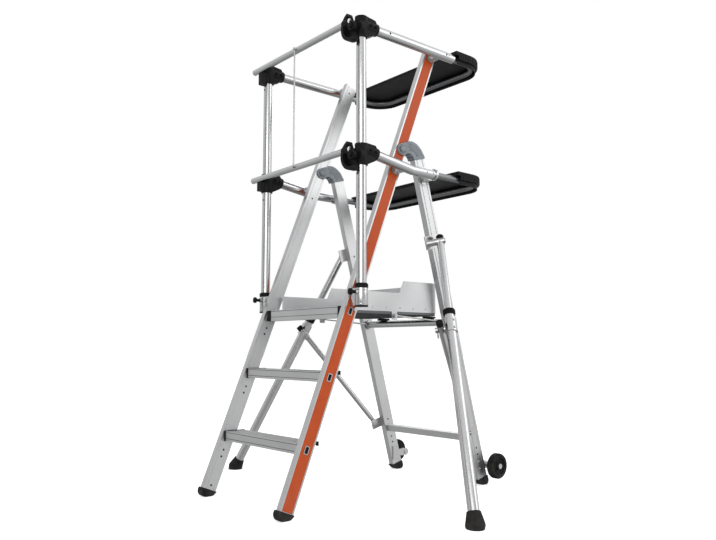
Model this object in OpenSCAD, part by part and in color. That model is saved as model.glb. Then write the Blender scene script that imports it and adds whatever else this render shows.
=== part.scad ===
// Podium step with a folding rear frame, a lifting gate and two side stabilisers.
// +X is the climber's right, +Y points to the rear and +Z up. The origin lies on the floor,
// below the middle of the outline.

/* [Frame] */
// Width over the outer faces of the stiles
frame_width = 532; // [500:1:580]
// Distance on the floor from the stiles' front edge to the legs' front edge
base_depth = 980; // [960:1:1000]
// Height of the platform's front step above the floor
platform_height = 702; // [692:1:712]
// Height of the top rails' axis above the platform
guard_height = 1024; // [1000:1:1040]
// Height of the level stretch of the middle rails above the platform
mid_guard_height = 524; // [515:1:535]
// Lean of the stiles from the vertical, in degrees
stile_lean = 21.8; // [21:0.1:22.5]
// Lean of the rear legs from the vertical, in degrees
leg_lean = 15.35; // [14.8:0.05:16]

/* [Stiles] */
// Thickness of a stile across the frame
stile_thick = 23; // [20:1:26]
// Depth of a stile along the climb
stile_depth = 56; // [52:1:62]
// Wall of the stile extrusion
stile_wall = 2.5; // [2:0.1:3]
// Width of the coloured strip on a stile's outer face
strip_width = 44; // [36:1:46]
// Depth of the recess that holds the strip
strip_recess = 1.2; // [0.8:0.1:1.5]
// Height of a stile's top above the top rails' axis
stile_overrun = 32; // [20:1:40]

/* [Treads] */
// Rise from the floor to the first tread, and from tread to tread
tread_rise = 236; // [230:1:240]
// Depth of a tread's top from front to rear
tread_depth = 84; // [76:1:92]
// Height of a tread's front box
tread_height = 36; // [34:1:40]
// Height of the platform nosing's front face
nosing_height = 43; // [40:1:48]
// Depth of the platform nosing
nosing_depth = 30; // [28:1:32]

/* [Guard rail] */
// Diameter of the posts and side rails
post_d = 37; // [34:1:40]
// Wall of the round tubes
tube_wall = 2; // [1.5:0.1:2.5]
// Distance from a stile's outer face to the post's axis
post_offset = 43; // [41:1:48]
// Distance of the posts behind the stiles' front edge on the floor
post_reach = 318; // [314:1:324]
// Length of a top rail from the post's axis to its rear end
top_rail_length = 486; // [470:1:500]
// Length of a middle rail from the post's axis to its rear end
mid_rail_length = 376; // [366:1:390]
// Length of the sloping stretch of a middle rail
mid_slope_length = 250; // [240:1:260]
// Slope of the middle rails towards the rear, in degrees
mid_slope = 8.5; // [6:0.1:10]
// Diameter of the rear loops' tube
loop_d = 25; // [22:1:28]
// Distance of the rear loops' axis behind the posts
loop_reach = 656; // [640:1:670]
// Bend radius of the rear loops' corners
loop_corner = 85; // [70:1:100]
// Distance of the trays' front edge behind the posts
tray_reach = 492; // [488:1:500]
// Height of a tray's skirt
tray_height = 50; // [44:1:56]

/* [Gate] */
// Diameter of the gate bars
gate_d = 25; // [22:1:28]
// Distance of the gate bars in front of the posts' axis
gate_gap = 38; // [36:1:42]
// Length of a gate bar past the left post's axis
gate_overhang = 48; // [40:1:60]
// Radius of the gate's hinge hubs
hub_r = 56; // [52:1:60]
// Height of the gate bars above their hinge axis
hub_drop = 22; // [20:1:24]
// Diameter of the rod that links the two gate bars
link_d = 6; // [4:0.5:6.5]

/* [Rear frame] */
// Thickness of a rear leg across the frame
leg_thick = 26; // [24:1:28]
// Depth of a rear leg
leg_depth = 53.5; // [50:0.5:57]
// Wall of the leg extrusion
leg_wall = 2.5; // [2:0.1:3]
// Height of the pivot between legs and stiles
pivot_height = 1313; // [1306:1:1320]
// Length of a rear leg up to its knuckle
leg_length = 1331; // [1326:1:1336]
// Diameter of the round tube under the platform
cross_d = 30; // [28:1:32]
// Height of the low cross bar's middle
cross_bar_z = 186; // [160:1:220]
// Diameter of the wheels
wheel_d = 100; // [94:1:104]
// Width of a wheel
wheel_width = 28; // [24:1:32]
// Distance of the wheel axle behind the legs' front edge on the floor
wheel_back = 70; // [68:1:76]
// Height of the wheel axle
wheel_z = 74; // [68:1:80]

/* [Platform] */
// Width of the platform deck
deck_width = 450; // [440:1:452]
// Thickness of the platform deck
deck_thick = 18; // [16:1:20]
// Distance from the platform's hinge to its rear edge
deck_length = 486; // [480:1:492]
// Height of the toe board at the sides, above the deck
toe_low = 64; // [50:1:80]
// Height of the toe board at the rear, above the deck
toe_high = 111; // [100:1:120]
// Radius of the toe board's rear corners
toe_corner = 60; // [50:1:70]
// Distance from the platform's hinge to the spreader rod's pin
tab_reach = 227; // [220:1:232]

/* [Stabilisers] */
// Height of a stabiliser's pivot on the rear leg
stab_z = 967; // [955:1:980]
// Distance of a stabiliser's pivot out from the leg's outer face
stab_out = 39; // [37:1:42]
// Distance of a stabiliser's foot from the middle of the frame
stab_foot_x = 722; // [700:1:750]
// Distance of a stabiliser's foot behind the stiles' front edge on the floor
stab_foot_y = 428; // [410:1:445]
// Diameter of a stabiliser's upper tube
stab_upper_d = 28; // [26:1:30]
// Diameter of a stabiliser's lower tube
stab_lower_d = 38; // [36:1:39]
// Diameter of a stabiliser's foot on the floor
stab_foot_d = 64; // [56:1:70]
// Diameter of the braces
brace_d = 22; // [20:1:23]
// Distance between the planes of a stabiliser and its brace
brace_gap = 36; // [36:1:40]

/* [Hidden] */
// Overrun of every cut, and running and seated clearances
over = 2;
run_gap = 0.3;
pin_gap = 0.08;
fit_gap = 0.1;

// Shoes of the stiles and the legs
stile_scoop = 6;
shoe_lip = 3;
shoe_top = 38;
shoe_toe_reach = -4;
shoe_r = 22;
shoe_flat = 20;
shoe_plug = 24;
leg_shoe_top = 22;
leg_shoe_in = 4;
leg_shoe_r = 16;
leg_shoe_flat = 18;

// Treads, their end caps and their tenons
tread_setback = 5;
tread_wall = 2;
tread_box = 36;
tread_plate = 7;
tread_lip = 12;
tread_lip_wall = 4;
cap_thick = 8;
cap_proud = 1.5;
groove_w = 3;
groove_depth = 1.2;
groove_shares = [0.333, 0.667];
line_w = 3;
line_depth = 1;
stile_line_shares = [0.2, 0.8];
leg_line_shares = [0.22, 0.78];
rib_pitch = 8;
rib_w = 3;
rib_depth = 1;
tenon_w = 18;
tenon_h = 28;
tenon_drop = 20;
tenon_wall = 2.5;
tenon_proud = 1.5;
block_w = 28;

// Post sockets, collars and lock knobs
socket_wall = 4.5;
socket_low = 2;
socket_high = 61;
socket_floor = 3;
socket_arm_w = 30;
collar_h = 14;
collar_wall = 6;
foot_ring_h = 4;
knob_z_up = 46;
plunger_d = 8;
plunger_bite = 6;
knob_stem_d = 12;
knob_stem_gap = 14;
knob_head_d = 24;
knob_head_l = 12;

// Corner connectors
joint_wall = 5.5;
rail_joint_wall = 5;
top_joint_up = 30;
top_joint_down = 48;
mid_joint_up = 18;
mid_joint_down = 60;
joint_rail = 70;
rail_seat = 24;
web_w = 32;
web_front = 16;
web_nose = 4;
web_rise = 5;
web_slope = 14;
web_end = 2;
web_knee = 16;
ledge_w = 26;
ledge_front = 3;
ledge_down = 56;
boss_r = 30;
rail_pin_d = 7;
rail_pin_head_d = 11;
rail_pin_head = 2.5;
rail_pin_first = 30;
rail_pin_step = 24;

// Rail brackets on the stiles
bracket_plate = 5;
bracket_w = 30;
bracket_h = 44;

// Rear loops and trays
loop_seat = 60;
flange_d = 46;
flange_l = 9;
tray_wall = 3;
tray_gap = 8;
tray_rim_up = 28;
tray_corner_extra = 20;
tray_flare = 6;
tray_tuck = 3;
tray_step = 4;

// Gate hubs
gate_top_rise = 8;
gate_mid_fall = 6;
hub_thick = 26;
hub_web = 7;
hub_rim = 13;
hub_core_r = 17;
hub_inset = 0;
hub_from = 112;
hub_to = 286;
gate_pin_d = 10;
gate_pin_back = 20;
gate_pin_head_d = 18;
gate_pin_head = 4;
gate_wall = 2;
link_share = 0.117;
link_eye_d = 13;
link_pin_d = 5;
link_eye_w = 7;
link_pin_head = 2;

// Knuckles, their pins and the legs' saddles
knuckle_nose_r = 22;
knuckle_crown_r = 34;
knuckle_crown_y = 52;
knuckle_crown_z = 6;
knuckle_bend_r = 27;
knuckle_bend_y = 68;
knuckle_bend_z = 9;
knuckle_heel_r = 20;
knuckle_heel_y = 90;
knuckle_heel_z = 1;
knuckle_bay_r = 27;
knuckle_bay_y = 39;
knuckle_bay_z = 37;
knuckle_cheek = 6;
knuckle_clear = 1.2;
knuckle_plug = 40;
fold_angle = 34;
fold_spare = 2;
pivot_pin_d = 12;
pivot_head_d = 22;
pivot_head = 3;
saddle_y = 20;
saddle_w = 20;
saddle_h = 16;
saddle_reach = 40;

// Cross bar, wheels, axles and wheel brackets
bar_depth = 20;
bar_height = 28;
bar_wall = 2;
bar_in = 10;
axle_d = 12;
axle_head_d = 20;
axle_head = 4;
hub_spacer_d = 30;
wheel_gap = 20;
wheel_boss_d = 48;
wheel_boss_l = 16;
wheel_bracket_plate = 5;
wheel_bracket_h = 60;
wheel_bracket_eye_r = 16;
tyre_round = 6;
wheel_dish = 5;
wheel_rim_share = 0.66;

// Deck, toe board, pads and spreader rods
deck_drop = 4;
deck_gap = 1.2;
deck_skin = 3;
deck_rib = 3;
deck_ribs = 4;
platform_pin_d = 10;
platform_head_d = 16;
toe_sheet = 2;
toe_overlap = 8;
toe_front = 22;
toe_step = 252;
toe_step_run = 24;
tab_w = 26;
tab_low = 16;
pad_w = 44;
pad_depth = 34;
pad_height = 8.5;
pad_x = 140;
rod_d = 6;
rod_eye_w = 8;
rod_gap = 2.2;
rod_eye_wall = 5;
rod_tip_d = 16;
rod_boss_share = 0.6;

// Stabilisers, collars, braces and lock pins
stab_in = 12;
stab_eye_d = 30;
stab_eye_l = 32;
stab_pin_d = 10;
stab_pin_head_d = 18;
stab_pin_head = 4;
stab_cap_at = 322;
stab_cap_up = 8;
stab_cap_down = 14;
stab_cap_wall = 2.5;
stab_lap = 210;
stab_clamp_at = 352;
stab_clamp_l = 54;
stab_clamp_wall = 4;
stab_lug_at = 388;
stab_lug_d = 24;
foot_height = 52;
foot_neck_d = 46;
foot_rim = 14;
foot_rim_l = 5;
foot_sole_share = 0.74;
boss_d = 26;
lug_plate = 5;
stab_plate_w = 82;
stab_plate_h = 54;
stab_plate_front = 34;
brace_low = 770;
brace_side = 14;
brace_wall = 1.5;
brace_eye_d = 24;
brace_eye_l = 12;
brace_neck = 24;
brace_tab_w = 18;
brace_past = 32;
brace_plate_w = 98;
brace_plate_h = 40;
brace_plate_front = 50;
lock_d = 8;
lock_head_d = 20;
lock_head = 10;
lock_ring_d = 26;
lock_ring_wire = 3;

$fn = 48;

// Main places
half_w = frame_width / 2;
stile_in = half_w - stile_thick;
leg_in = half_w - leg_thick;
total_depth = shoe_toe_reach + base_depth + wheel_back + wheel_d / 2;
stile_foot_y = shoe_toe_reach - total_depth / 2;
leg_foot_y = stile_foot_y + base_depth;
top_z = platform_height + guard_height;
mid_z = platform_height + mid_guard_height;
mid_post_z = mid_z + mid_slope_length * tan(mid_slope);
post_x = half_w + post_offset;
post_y = stile_foot_y + post_reach;
gate_y = post_y - gate_gap;
gate_top_z = top_z + gate_top_rise;
gate_mid_z = mid_post_z - gate_mid_fall;
stile_len = (top_z + stile_overrun) / cos(stile_lean);
wheel_y = leg_foot_y + wheel_back;
wheel_x = half_w + wheel_gap;

// Front edge and middle of the stiles and legs at a height
function stile_front(z) = stile_foot_y + z * tan(stile_lean);
function stile_mid(z) = stile_front(z) + stile_depth / 2 / cos(stile_lean);
function leg_front(z) = leg_foot_y - z * tan(leg_lean);
function leg_mid(z) = leg_front(z) + leg_depth / 2 / cos(leg_lean);
function unit(v) = v / norm(v);

pivot = [0, stile_mid(pivot_height), pivot_height];

// Platform hinge, cross tube and spreader pin
nosing_y = stile_front(platform_height) + tread_setback;
deck_top = platform_height - deck_drop;
deck_low = deck_top - deck_thick;
hinge_z = deck_top - deck_thick / 2;
hinge_y = nosing_y + nosing_depth + deck_gap + deck_thick / 2;
deck_rear = hinge_y + deck_length;
cross_z = deck_low - pad_height - run_gap - cross_d / 2;
cross_y = leg_mid(cross_z);
tab_y = hinge_y + tab_reach;
tab_z = hinge_z + (cross_z - hinge_z) * tab_reach / (cross_y - hinge_y);
toe_x = deck_width / 2 + toe_sheet;
rod_x = toe_x + rod_gap;

// Stabiliser and brace directions on the right side
stab_top = [half_w + stab_out, leg_front(stab_z) + stab_in, stab_z];
stab_foot = [stab_foot_x, stile_foot_y + stab_foot_y, 0];
stab_len = norm(stab_foot - stab_top);
stab_dir = unit(stab_foot - stab_top);
leg_dir = [0, sin(leg_lean), -cos(leg_lean)];
fold_axis = unit(cross(stab_dir, leg_dir));
fold_side = cross(fold_axis, leg_dir) * -1;
brace_pivot = stab_top + brace_low * leg_dir + brace_side * fold_side - brace_gap * fold_axis;
brace_cross = stab_top + stab_lug_at * stab_dir - brace_gap * fold_axis;
brace_dir = unit(brace_cross - brace_pivot);
brace_len = norm(brace_cross - brace_pivot) + brace_past;

// Both sides of a piece that is drawn for the right side
module both_sides() {
  children();
  mirror([1, 0, 0]) children();
}

module left_side() mirror([1, 0, 0]) children();

// Frame of a stile: y runs through its depth and z up its front edge
module on_stile() translate([0, stile_foot_y, 0]) rotate([-stile_lean, 0, 0]) children();

// Frame of a rear leg: y runs through its depth and z up its front edge
module on_leg() translate([0, leg_foot_y, 0]) rotate([leg_lean, 0, 0]) children();

// Frame at a point with z along one direction and x along another
module frame_at(at, z_dir, x_dir) {
  y_dir = cross(z_dir, x_dir);
  multmatrix([[x_dir.x, y_dir.x, z_dir.x, at.x], [x_dir.y, y_dir.y, z_dir.y, at.y],
    [x_dir.z, y_dir.z, z_dir.z, at.z], [0, 0, 0, 1]]) children();
}

module stab_frame(s = 0) frame_at(stab_top + s * stab_dir, stab_dir, fold_axis) children();

module brace_frame(s = 0) frame_at(brace_pivot + s * brace_dir, brace_dir, fold_axis) children();

// Outline in the YZ plane drawn out along X, about the middle
module across(length) translate([-length / 2, 0, 0]) rotate([90, 0, 90]) linear_extrude(length) children();

// Round bar along X from one place to another
module bar_x(x0, x1, d) translate([x0, 0, 0]) rotate([0, 90, 0]) cylinder(d = d, h = x1 - x0);

// Round bar along Y from one place to another
module bar_y(y0, y1, d) translate([0, y0, 0]) rotate([-90, 0, 0]) cylinder(d = d, h = y1 - y0);

module pipe(d, wall, h) difference() {
  cylinder(d = d, h = h);
  translate([0, 0, -over]) cylinder(d = d - 2 * wall, h = h + 2 * over);
}

// Places of the three tenons in a stile
module at_tenon(step_top) {
  z = step_top - tenon_drop;
  translate([0, stile_mid(z), z]) rotate([-stile_lean, 0, 0]) children();
}

step_tops = [tread_rise, 2 * tread_rise, platform_height];

module tenon_box(x0, x1, w, h) translate([x0, -w / 2, -h / 2]) cube([x1 - x0, w, h]);

module stile() {
  color("silver") difference() {
    on_stile() difference() {
      translate([stile_in, 0, shoe_top]) cube([stile_thick, stile_depth, stile_len - shoe_top]);
      translate([stile_in + stile_wall, stile_wall, shoe_top - over])
        cube([stile_thick - 2 * stile_wall, stile_depth - 2 * stile_wall, stile_len]);
      translate([half_w - strip_recess, (stile_depth - strip_width) / 2, shoe_top - over])
        cube([strip_recess + over, strip_width, stile_len]);
      for (share = stile_line_shares)
        translate([stile_in - over, share * stile_depth - line_w / 2, shoe_top - over])
          cube([line_depth + over, line_w, stile_len]);
      translate([0, stile_depth / 2, stile_len + stile_depth - stile_scoop])
        bar_x(stile_in - over, half_w + over, 2 * stile_depth);
    }
    for (top = step_tops) at_tenon(top)
      tenon_box(stile_in - over, half_w + over, tenon_w + 2 * fit_gap, tenon_h + 2 * fit_gap);
    translate(pivot) bar_x(stile_in - over, half_w + over, pivot_pin_d + 2 * fit_gap);
    translate([0, hinge_y, hinge_z]) bar_x(stile_in - over, half_w + over, platform_pin_d + 2 * fit_gap);
  }
}

module left_stile() left_side() stile();

module right_stile() stile();

module stile_strips() color("orangered") both_sides() difference() {
  on_stile() difference() {
    translate([half_w - strip_recess, (stile_depth - strip_width) / 2 + fit_gap, shoe_top + over])
      cube([strip_recess - fit_gap, strip_width - 2 * fit_gap, stile_len - shoe_top - stile_depth / 2]);
  }
  for (top = step_tops) at_tenon(top)
    tenon_box(stile_in, half_w + over, tenon_w + 2 * fit_gap, tenon_h + 2 * fit_gap);
  translate(pivot) bar_x(stile_in, half_w + over, pivot_pin_d + 2 * fit_gap);
  translate([0, hinge_y, hinge_z]) bar_x(stile_in, half_w + over, platform_pin_d + 2 * fit_gap);
  for (rail_z = [top_z, mid_bracket_z]) translate([0, stile_mid(rail_z), rail_z]) on_stile_plate();
}

// Room that a rail bracket's plate takes on a stile's face
module on_stile_plate() rotate([-stile_lean, 0, 0])
  translate([half_w - strip_recess - over, -bracket_w / 2 - fit_gap, -bracket_h / 2 - fit_gap])
    cube([strip_recess + 2 * over, bracket_w + 2 * fit_gap, bracket_h + 2 * fit_gap]);

// Rounded shoe under a stile, with a plug in its hollow
module stile_shoes() color("#1c1c1c") both_sides() {
  toe_y = stile_foot_y - shoe_toe_reach + shoe_r;
  translate([half_w - stile_thick / 2, 0, 0]) across(stile_thick + 2 * shoe_lip) difference() {
    hull() {
      for (y = [toe_y, toe_y + shoe_flat]) translate([y, shoe_r]) circle(r = shoe_r);
      translate([stile_foot_y, 0]) rotate(-stile_lean)
        translate([-shoe_lip, shoe_top - shoe_lip]) square([stile_depth + 2 * shoe_lip, shoe_lip]);
    }
    translate([stile_foot_y, 0]) rotate(-stile_lean)
      translate([-2 * stile_depth, shoe_top]) square([4 * stile_depth, stile_depth]);
  }
  on_stile() translate([stile_in + stile_wall + fit_gap, stile_wall + fit_gap, shoe_top])
    cube([stile_thick - 2 * stile_wall - 2 * fit_gap, stile_depth - 2 * stile_wall - 2 * fit_gap, shoe_plug]);
}

// Filled outline of a tread, from its front edge
module tread_outline() {
  translate([0, -tread_height]) square([tread_box, tread_height]);
  translate([0, -tread_plate]) square([tread_depth, tread_plate]);
  translate([tread_depth - tread_lip_wall, -tread_lip]) square([tread_lip_wall, tread_lip]);
}

module tread(top) {
  front = stile_front(top) + tread_setback;
  inner = stile_in - cap_thick;
  color("lightgray") {
    translate([0, front, top]) across(2 * inner) difference() {
      tread_outline();
      translate([tread_wall, tread_wall - tread_height])
        square([tread_box - 2 * tread_wall, tread_height - tread_plate - tread_wall]);
      for (share = groove_shares) translate([-over, -share * tread_height - groove_w / 2])
        square([groove_depth + over, groove_w]);
      for (y = [rib_pitch : rib_pitch : tread_depth - rib_pitch])
        translate([y, -rib_depth]) square([rib_w, rib_depth + over]);
    }
    tenon_pair(top, inner - tread_wall);
  }
}

// The tubular ends that pass through the stiles
module tenon_pair(top, inner) both_sides() at_tenon(top) difference() {
  tenon_box(inner, half_w + tenon_proud, tenon_w, tenon_h);
  tenon_box(inner - over, half_w + tenon_proud + over, tenon_w - 2 * tenon_wall, tenon_h - 2 * tenon_wall);
}

module lower_tread() tread(step_tops[0]);

module upper_tread() tread(step_tops[1]);

module nosing_outline() translate([0, -nosing_height]) square([nosing_depth, nosing_height]);

module platform_nosing() {
  inner = stile_in - block_w;
  color("lightgray") {
    translate([0, nosing_y, platform_height]) difference() {
      across(2 * inner) difference() {
        nosing_outline();
        for (y = [rib_pitch : rib_pitch : nosing_depth - rib_pitch])
          translate([y, -rib_depth]) square([rib_w, rib_depth + over]);
      }
      across(2 * inner - 2 * cap_thick) translate([tread_wall, tread_wall - nosing_height])
        square([nosing_depth - 2 * tread_wall, nosing_height - 2 * tread_wall - rib_depth]);
    }
    tenon_pair(platform_height, inner - tread_wall);
  }
}

// Moulded ends between the stiles and the treads, and between the stiles and the nosing
module tread_end_caps() color("#202020") both_sides() difference() {
  union() {
    for (top = [step_tops[0], step_tops[1]])
      translate([stile_in - cap_thick / 2, stile_front(top) + tread_setback, top])
        across(cap_thick) offset(delta = cap_proud) tread_outline();
    translate([stile_in - block_w / 2, nosing_y, platform_height]) across(block_w) nosing_outline();
  }
  for (top = step_tops) at_tenon(top)
    tenon_box(0, half_w, tenon_w + 2 * fit_gap, tenon_h + 2 * fit_gap);
}

module tenon_plugs() color("#181818") both_sides() for (top = step_tops) at_tenon(top)
  tenon_box(stile_in, half_w + tenon_proud - groove_depth, tenon_w - 2 * tenon_wall - 2 * fit_gap,
    tenon_h - 2 * tenon_wall - 2 * fit_gap);

// Post sockets on the stiles, with their collars and lock knobs
socket_d = post_d + 2 * fit_gap + 2 * socket_wall;
socket_foot = platform_height - socket_low;
socket_top = platform_height + socket_high;
knob_z = platform_height + knob_z_up;

module post() {
  color("silver") translate([post_x, post_y, 0]) difference() {
    translate([0, 0, socket_foot + socket_floor]) pipe(post_d, tube_wall, top_z - socket_foot - socket_floor);
    translate([0, 0, knob_z]) bar_y(-post_d, 0, plunger_d + 2 * run_gap);
  }
}

module left_post() left_side() post();

module right_post() post();

// Arm of a socket, from the stile's face to the post's axis
module socket_arm() translate([half_w, post_y - socket_arm_w / 2, socket_foot])
  cube([post_offset, socket_arm_w, socket_top - socket_foot]);

module post_sockets() color("gainsboro") both_sides() difference() {
  union() {
    translate([post_x, post_y, socket_foot]) cylinder(d = socket_d, h = socket_top - socket_foot);
    socket_arm();
    translate([post_x, post_y, knob_z])
      bar_y(-socket_d / 2 - knob_stem_gap / 2, 0, knob_stem_d + socket_wall);
  }
  translate([post_x, post_y, socket_foot + socket_floor])
    cylinder(d = post_d + 2 * fit_gap, h = socket_top);
  translate([post_x, post_y, knob_z]) bar_y(-socket_d, 0, plunger_d + 2 * run_gap);
}

module post_collars() color("#161616") both_sides() {
  translate([post_x, post_y, socket_top])
    pipe(post_d + 2 * collar_wall, collar_wall - fit_gap, collar_h);
  translate([post_x, post_y, socket_foot - foot_ring_h]) cylinder(d = post_d + collar_wall, h = foot_ring_h);
}

// Mushroom knob whose plunger locks the post
module lock_knob() color("#141414") translate([post_x, post_y, knob_z]) {
  seat = -socket_d / 2 - knob_stem_gap / 2 - run_gap;
  bar_y(seat - over, -post_d / 2 + plunger_bite, plunger_d);
  bar_y(seat - knob_stem_gap, seat, knob_stem_d);
  translate([0, seat - knob_stem_gap, 0]) rotate([90, 0, 0]) rotate_extrude() hull() {
    square([knob_head_d / 4, knob_head_l]);
    translate([0, knob_head_l / 4]) square([knob_head_d / 2, knob_head_l / 2]);
  }
}

module left_lock_knob() left_side() lock_knob();

module right_lock_knob() lock_knob();

// Height of a middle rail's axis at a place along Y
function mid_rail_z(y) = mid_z + max(0, (post_y + mid_slope_length - y) * tan(mid_slope));

// Straight runs of a middle rail, each drawn past the bend by a given length
module mid_slope_run(d, past) translate([post_x, post_y, mid_post_z]) rotate([-90 - mid_slope, 0, 0])
  cylinder(d = d, h = mid_slope_length / cos(mid_slope) + past);

module mid_level_run(d, past) translate([post_x, post_y + mid_slope_length - past, mid_z])
  rotate([-90, 0, 0]) cylinder(d = d, h = mid_rail_length - mid_slope_length + past);

// Half of the space about a middle rail's bend, in front of or behind its mitre
module mitre_half(turn) translate([post_x, post_y + mid_slope_length, mid_z]) rotate([-mid_slope / 2, 0, 0])
  translate([-post_d, turn * mid_rail_length / 2 - mid_rail_length / 2, -post_d * 2])
    cube([2 * post_d, mid_rail_length, 4 * post_d]);

// Solid run of a middle rail, from the post's axis to its rear end
module mid_run(d) {
  intersection() {
    mid_slope_run(d, post_d);
    mitre_half(-1);
  }
  intersection() {
    mid_level_run(d, post_d);
    mitre_half(1);
  }
}

module top_run(d) translate([post_x, post_y, top_z]) rotate([-90, 0, 0]) cylinder(d = d, h = top_rail_length);

// Pins through a rail and its socket, in the rail's own frame
module rail_pin_holes(gap) for (i = [0, 1]) translate([0, 0, rail_pin_first + i * rail_pin_step])
  bar_x(-post_d, post_d, rail_pin_d + 2 * gap);

module top_rail_frame() translate([post_x, post_y, top_z]) rotate([-90, 0, 0]) children();

module mid_rail_frame() translate([post_x, post_y, mid_post_z]) rotate([-90 - mid_slope, 0, 0]) children();

module front_cut() translate([post_x - post_d, post_y - post_d, 0])
  cube([2 * post_d, post_d + rail_seat, 2 * top_z]);

module top_rail() color("silver") difference() {
  top_run(post_d);
  translate([0, over, 0]) top_run(post_d - 2 * tube_wall);
  front_cut();
  top_rail_frame() rail_pin_holes(fit_gap);
}

module mid_rail() color("silver") difference() {
  union() {
    mid_run(post_d);
    translate([post_x, post_y + mid_rail_length, mid_z]) bar_y(-flange_l, 0, flange_d);
  }
  mid_slope_run(post_d - 2 * tube_wall, over);
  translate([0, over, 0]) mid_level_run(post_d - 2 * tube_wall, 2 * over);
  mid_rail_frame() translate([-post_d, -post_d, -post_d]) cube([2 * post_d, 2 * post_d, post_d + rail_seat]);
  mid_rail_frame() rail_pin_holes(fit_gap);
}

module left_top_rail() left_side() top_rail();

module right_top_rail() top_rail();

module left_mid_rail() left_side() mid_rail();

module right_mid_rail() mid_rail();

// Corner connector: a socket round the post, one round the rail and a web between the two
module connector_body(z, up, down, slope) {
  rail_r = post_d / 2 + rail_joint_wall;
  drop = joint_rail * tan(slope);
  translate([post_x, post_y, z - down]) cylinder(d = post_d + 2 * joint_wall, h = up + down);
  translate([post_x, post_y, z]) across(web_w) polygon([[-web_front, up - web_slope],
    [-web_front, up], [-web_nose, up + web_rise], [joint_rail - web_slope, rail_r + web_rise - drop],
    [joint_rail - web_end, rail_r - web_slope - drop], [joint_rail - web_knee, -rail_r - web_rise - drop],
    [web_slope, web_end - down], [0, web_end - down]]);
  children();
}

module rail_socket() cylinder(d = post_d + 2 * rail_joint_wall, h = joint_rail);

// Bore for the post, from below the connector's lowest edge
module post_bore(z, up) translate([post_x, post_y, z - 2 * mid_joint_down])
  cylinder(d = post_d + 2 * fit_gap, h = 2 * mid_joint_down + up);

module rail_bore() {
  translate([0, 0, rail_seat - fit_gap]) cylinder(d = post_d + 2 * fit_gap, h = joint_rail);
  rail_pin_holes(fit_gap);
}

// Round boss that carries a gate hub, and the bore for its pin
module hub_boss(bar_z) translate([post_x - hub_inset, 0, bar_z - hub_drop])
  bar_y(gate_y + hub_thick / 2 + run_gap, post_y - joint_wall, 2 * boss_r);

module hub_bore(bar_z) translate([post_x - hub_inset, 0, bar_z - hub_drop])
  bar_y(gate_y - hub_thick, post_y - gate_pin_back + fit_gap, gate_pin_d + 2 * fit_gap);

// Ledge in front of the left post on which a gate bar rests
module ledge(z, bar_z) translate([post_x - ledge_w / 2, gate_y - ledge_front, z - ledge_down])
  cube([ledge_w, gate_gap + ledge_front, bar_z - z + ledge_down - gate_d / 2 - run_gap]);

module top_connector(gate_side) color("#1a1a1a") difference() {
  connector_body(top_z, top_joint_up, top_joint_down, 0) {
    top_rail_frame() rail_socket();
    if (gate_side) hub_boss(gate_top_z);
    else ledge(top_z, gate_top_z);
  }
  post_bore(top_z, fit_gap);
  top_rail_frame() rail_bore();
  if (gate_side) hub_bore(gate_top_z);
}

module mid_connector(gate_side) color("#1a1a1a") difference() {
  connector_body(mid_post_z, mid_joint_up, mid_joint_down, mid_slope) {
    mid_rail_frame() rail_socket();
    if (gate_side) hub_boss(gate_mid_z);
    else ledge(mid_post_z, gate_mid_z);
  }
  post_bore(mid_post_z, 2 * mid_joint_down);
  mid_rail_frame() rail_bore();
  if (gate_side) hub_bore(gate_mid_z);
}

module right_top_connector() top_connector(true);

module left_top_connector() left_side() top_connector(false);

module right_mid_connector() mid_connector(true);

module left_mid_connector() left_side() mid_connector(false);

// Brackets that carry the side rails on the stiles
module rail_bracket(z) translate([0, stile_mid(z), z]) {
  rotate([-stile_lean, 0, 0]) translate([half_w - strip_recess, -bracket_w / 2, -bracket_h / 2])
    cube([bracket_plate, bracket_w, bracket_h]);
  translate([half_w, -bracket_w / 2, -post_d / 2]) cube([post_offset - post_d / 4, bracket_w, post_d]);
}

mid_bracket_z = mid_rail_z(stile_mid(mid_z));

module rail_brackets() color("gainsboro") both_sides() difference() {
  union() {
    rail_bracket(top_z);
    rail_bracket(mid_bracket_z);
  }
  top_run(post_d + 2 * fit_gap);
  mid_slope_run(post_d + 2 * fit_gap, over);
}

// U-shaped rear loop of thin tube
module loop_run(d, z, start) both_sides() {
  rear = post_y + loop_reach;
  translate([post_x, 0, z]) bar_y(start, rear - loop_corner, d);
  translate([post_x - loop_corner, rear - loop_corner, z]) rotate_extrude(angle = 90, $fn = 96)
    translate([loop_corner, 0]) circle(d = d, $fn = 48);
  translate([0, rear, z]) bar_x(-over, post_x - loop_corner, d);
}

// Bush at a loop's end that fills the rail's bore
module loop_bush(z, rail_end) both_sides() translate([post_x, 0, z])
  bar_y(rail_end - loop_seat, rail_end, post_d - 2 * tube_wall - 2 * fit_gap);

module rear_loop(z, rail_end) color("darkgray") difference() {
  union() {
    loop_run(loop_d, z, rail_end - loop_seat);
    loop_bush(z, rail_end);
  }
  loop_run(loop_d - 2 * tube_wall, z, rail_end - loop_seat - over);
}

top_rail_end = post_y + top_rail_length;
mid_rail_end = post_y + mid_rail_length;

module upper_rear_loop() rear_loop(top_z, top_rail_end);

module lower_rear_loop() rear_loop(mid_z, mid_rail_end);

// Plan of a tray, grown or shrunk by its wall
module tray_plan(inset) {
  side = post_x + loop_d / 2 + tray_gap - inset;
  rear = post_y + loop_reach + loop_d / 2 + tray_gap - inset;
  front = post_y + tray_reach + inset;
  corner = loop_corner + tray_corner_extra - inset;
  intersection() {
    union() {
      translate([-side, front]) square([2 * side, rear - corner - front]);
      translate([corner - side, front]) square([2 * (side - corner), rear - front]);
      for (turn = [-1, 1]) translate([turn * (side - corner), rear - corner])
        circle(r = corner, $fn = 96);
    }
    translate([-side, front]) square([2 * side, rear - front]);
  }
}

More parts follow.
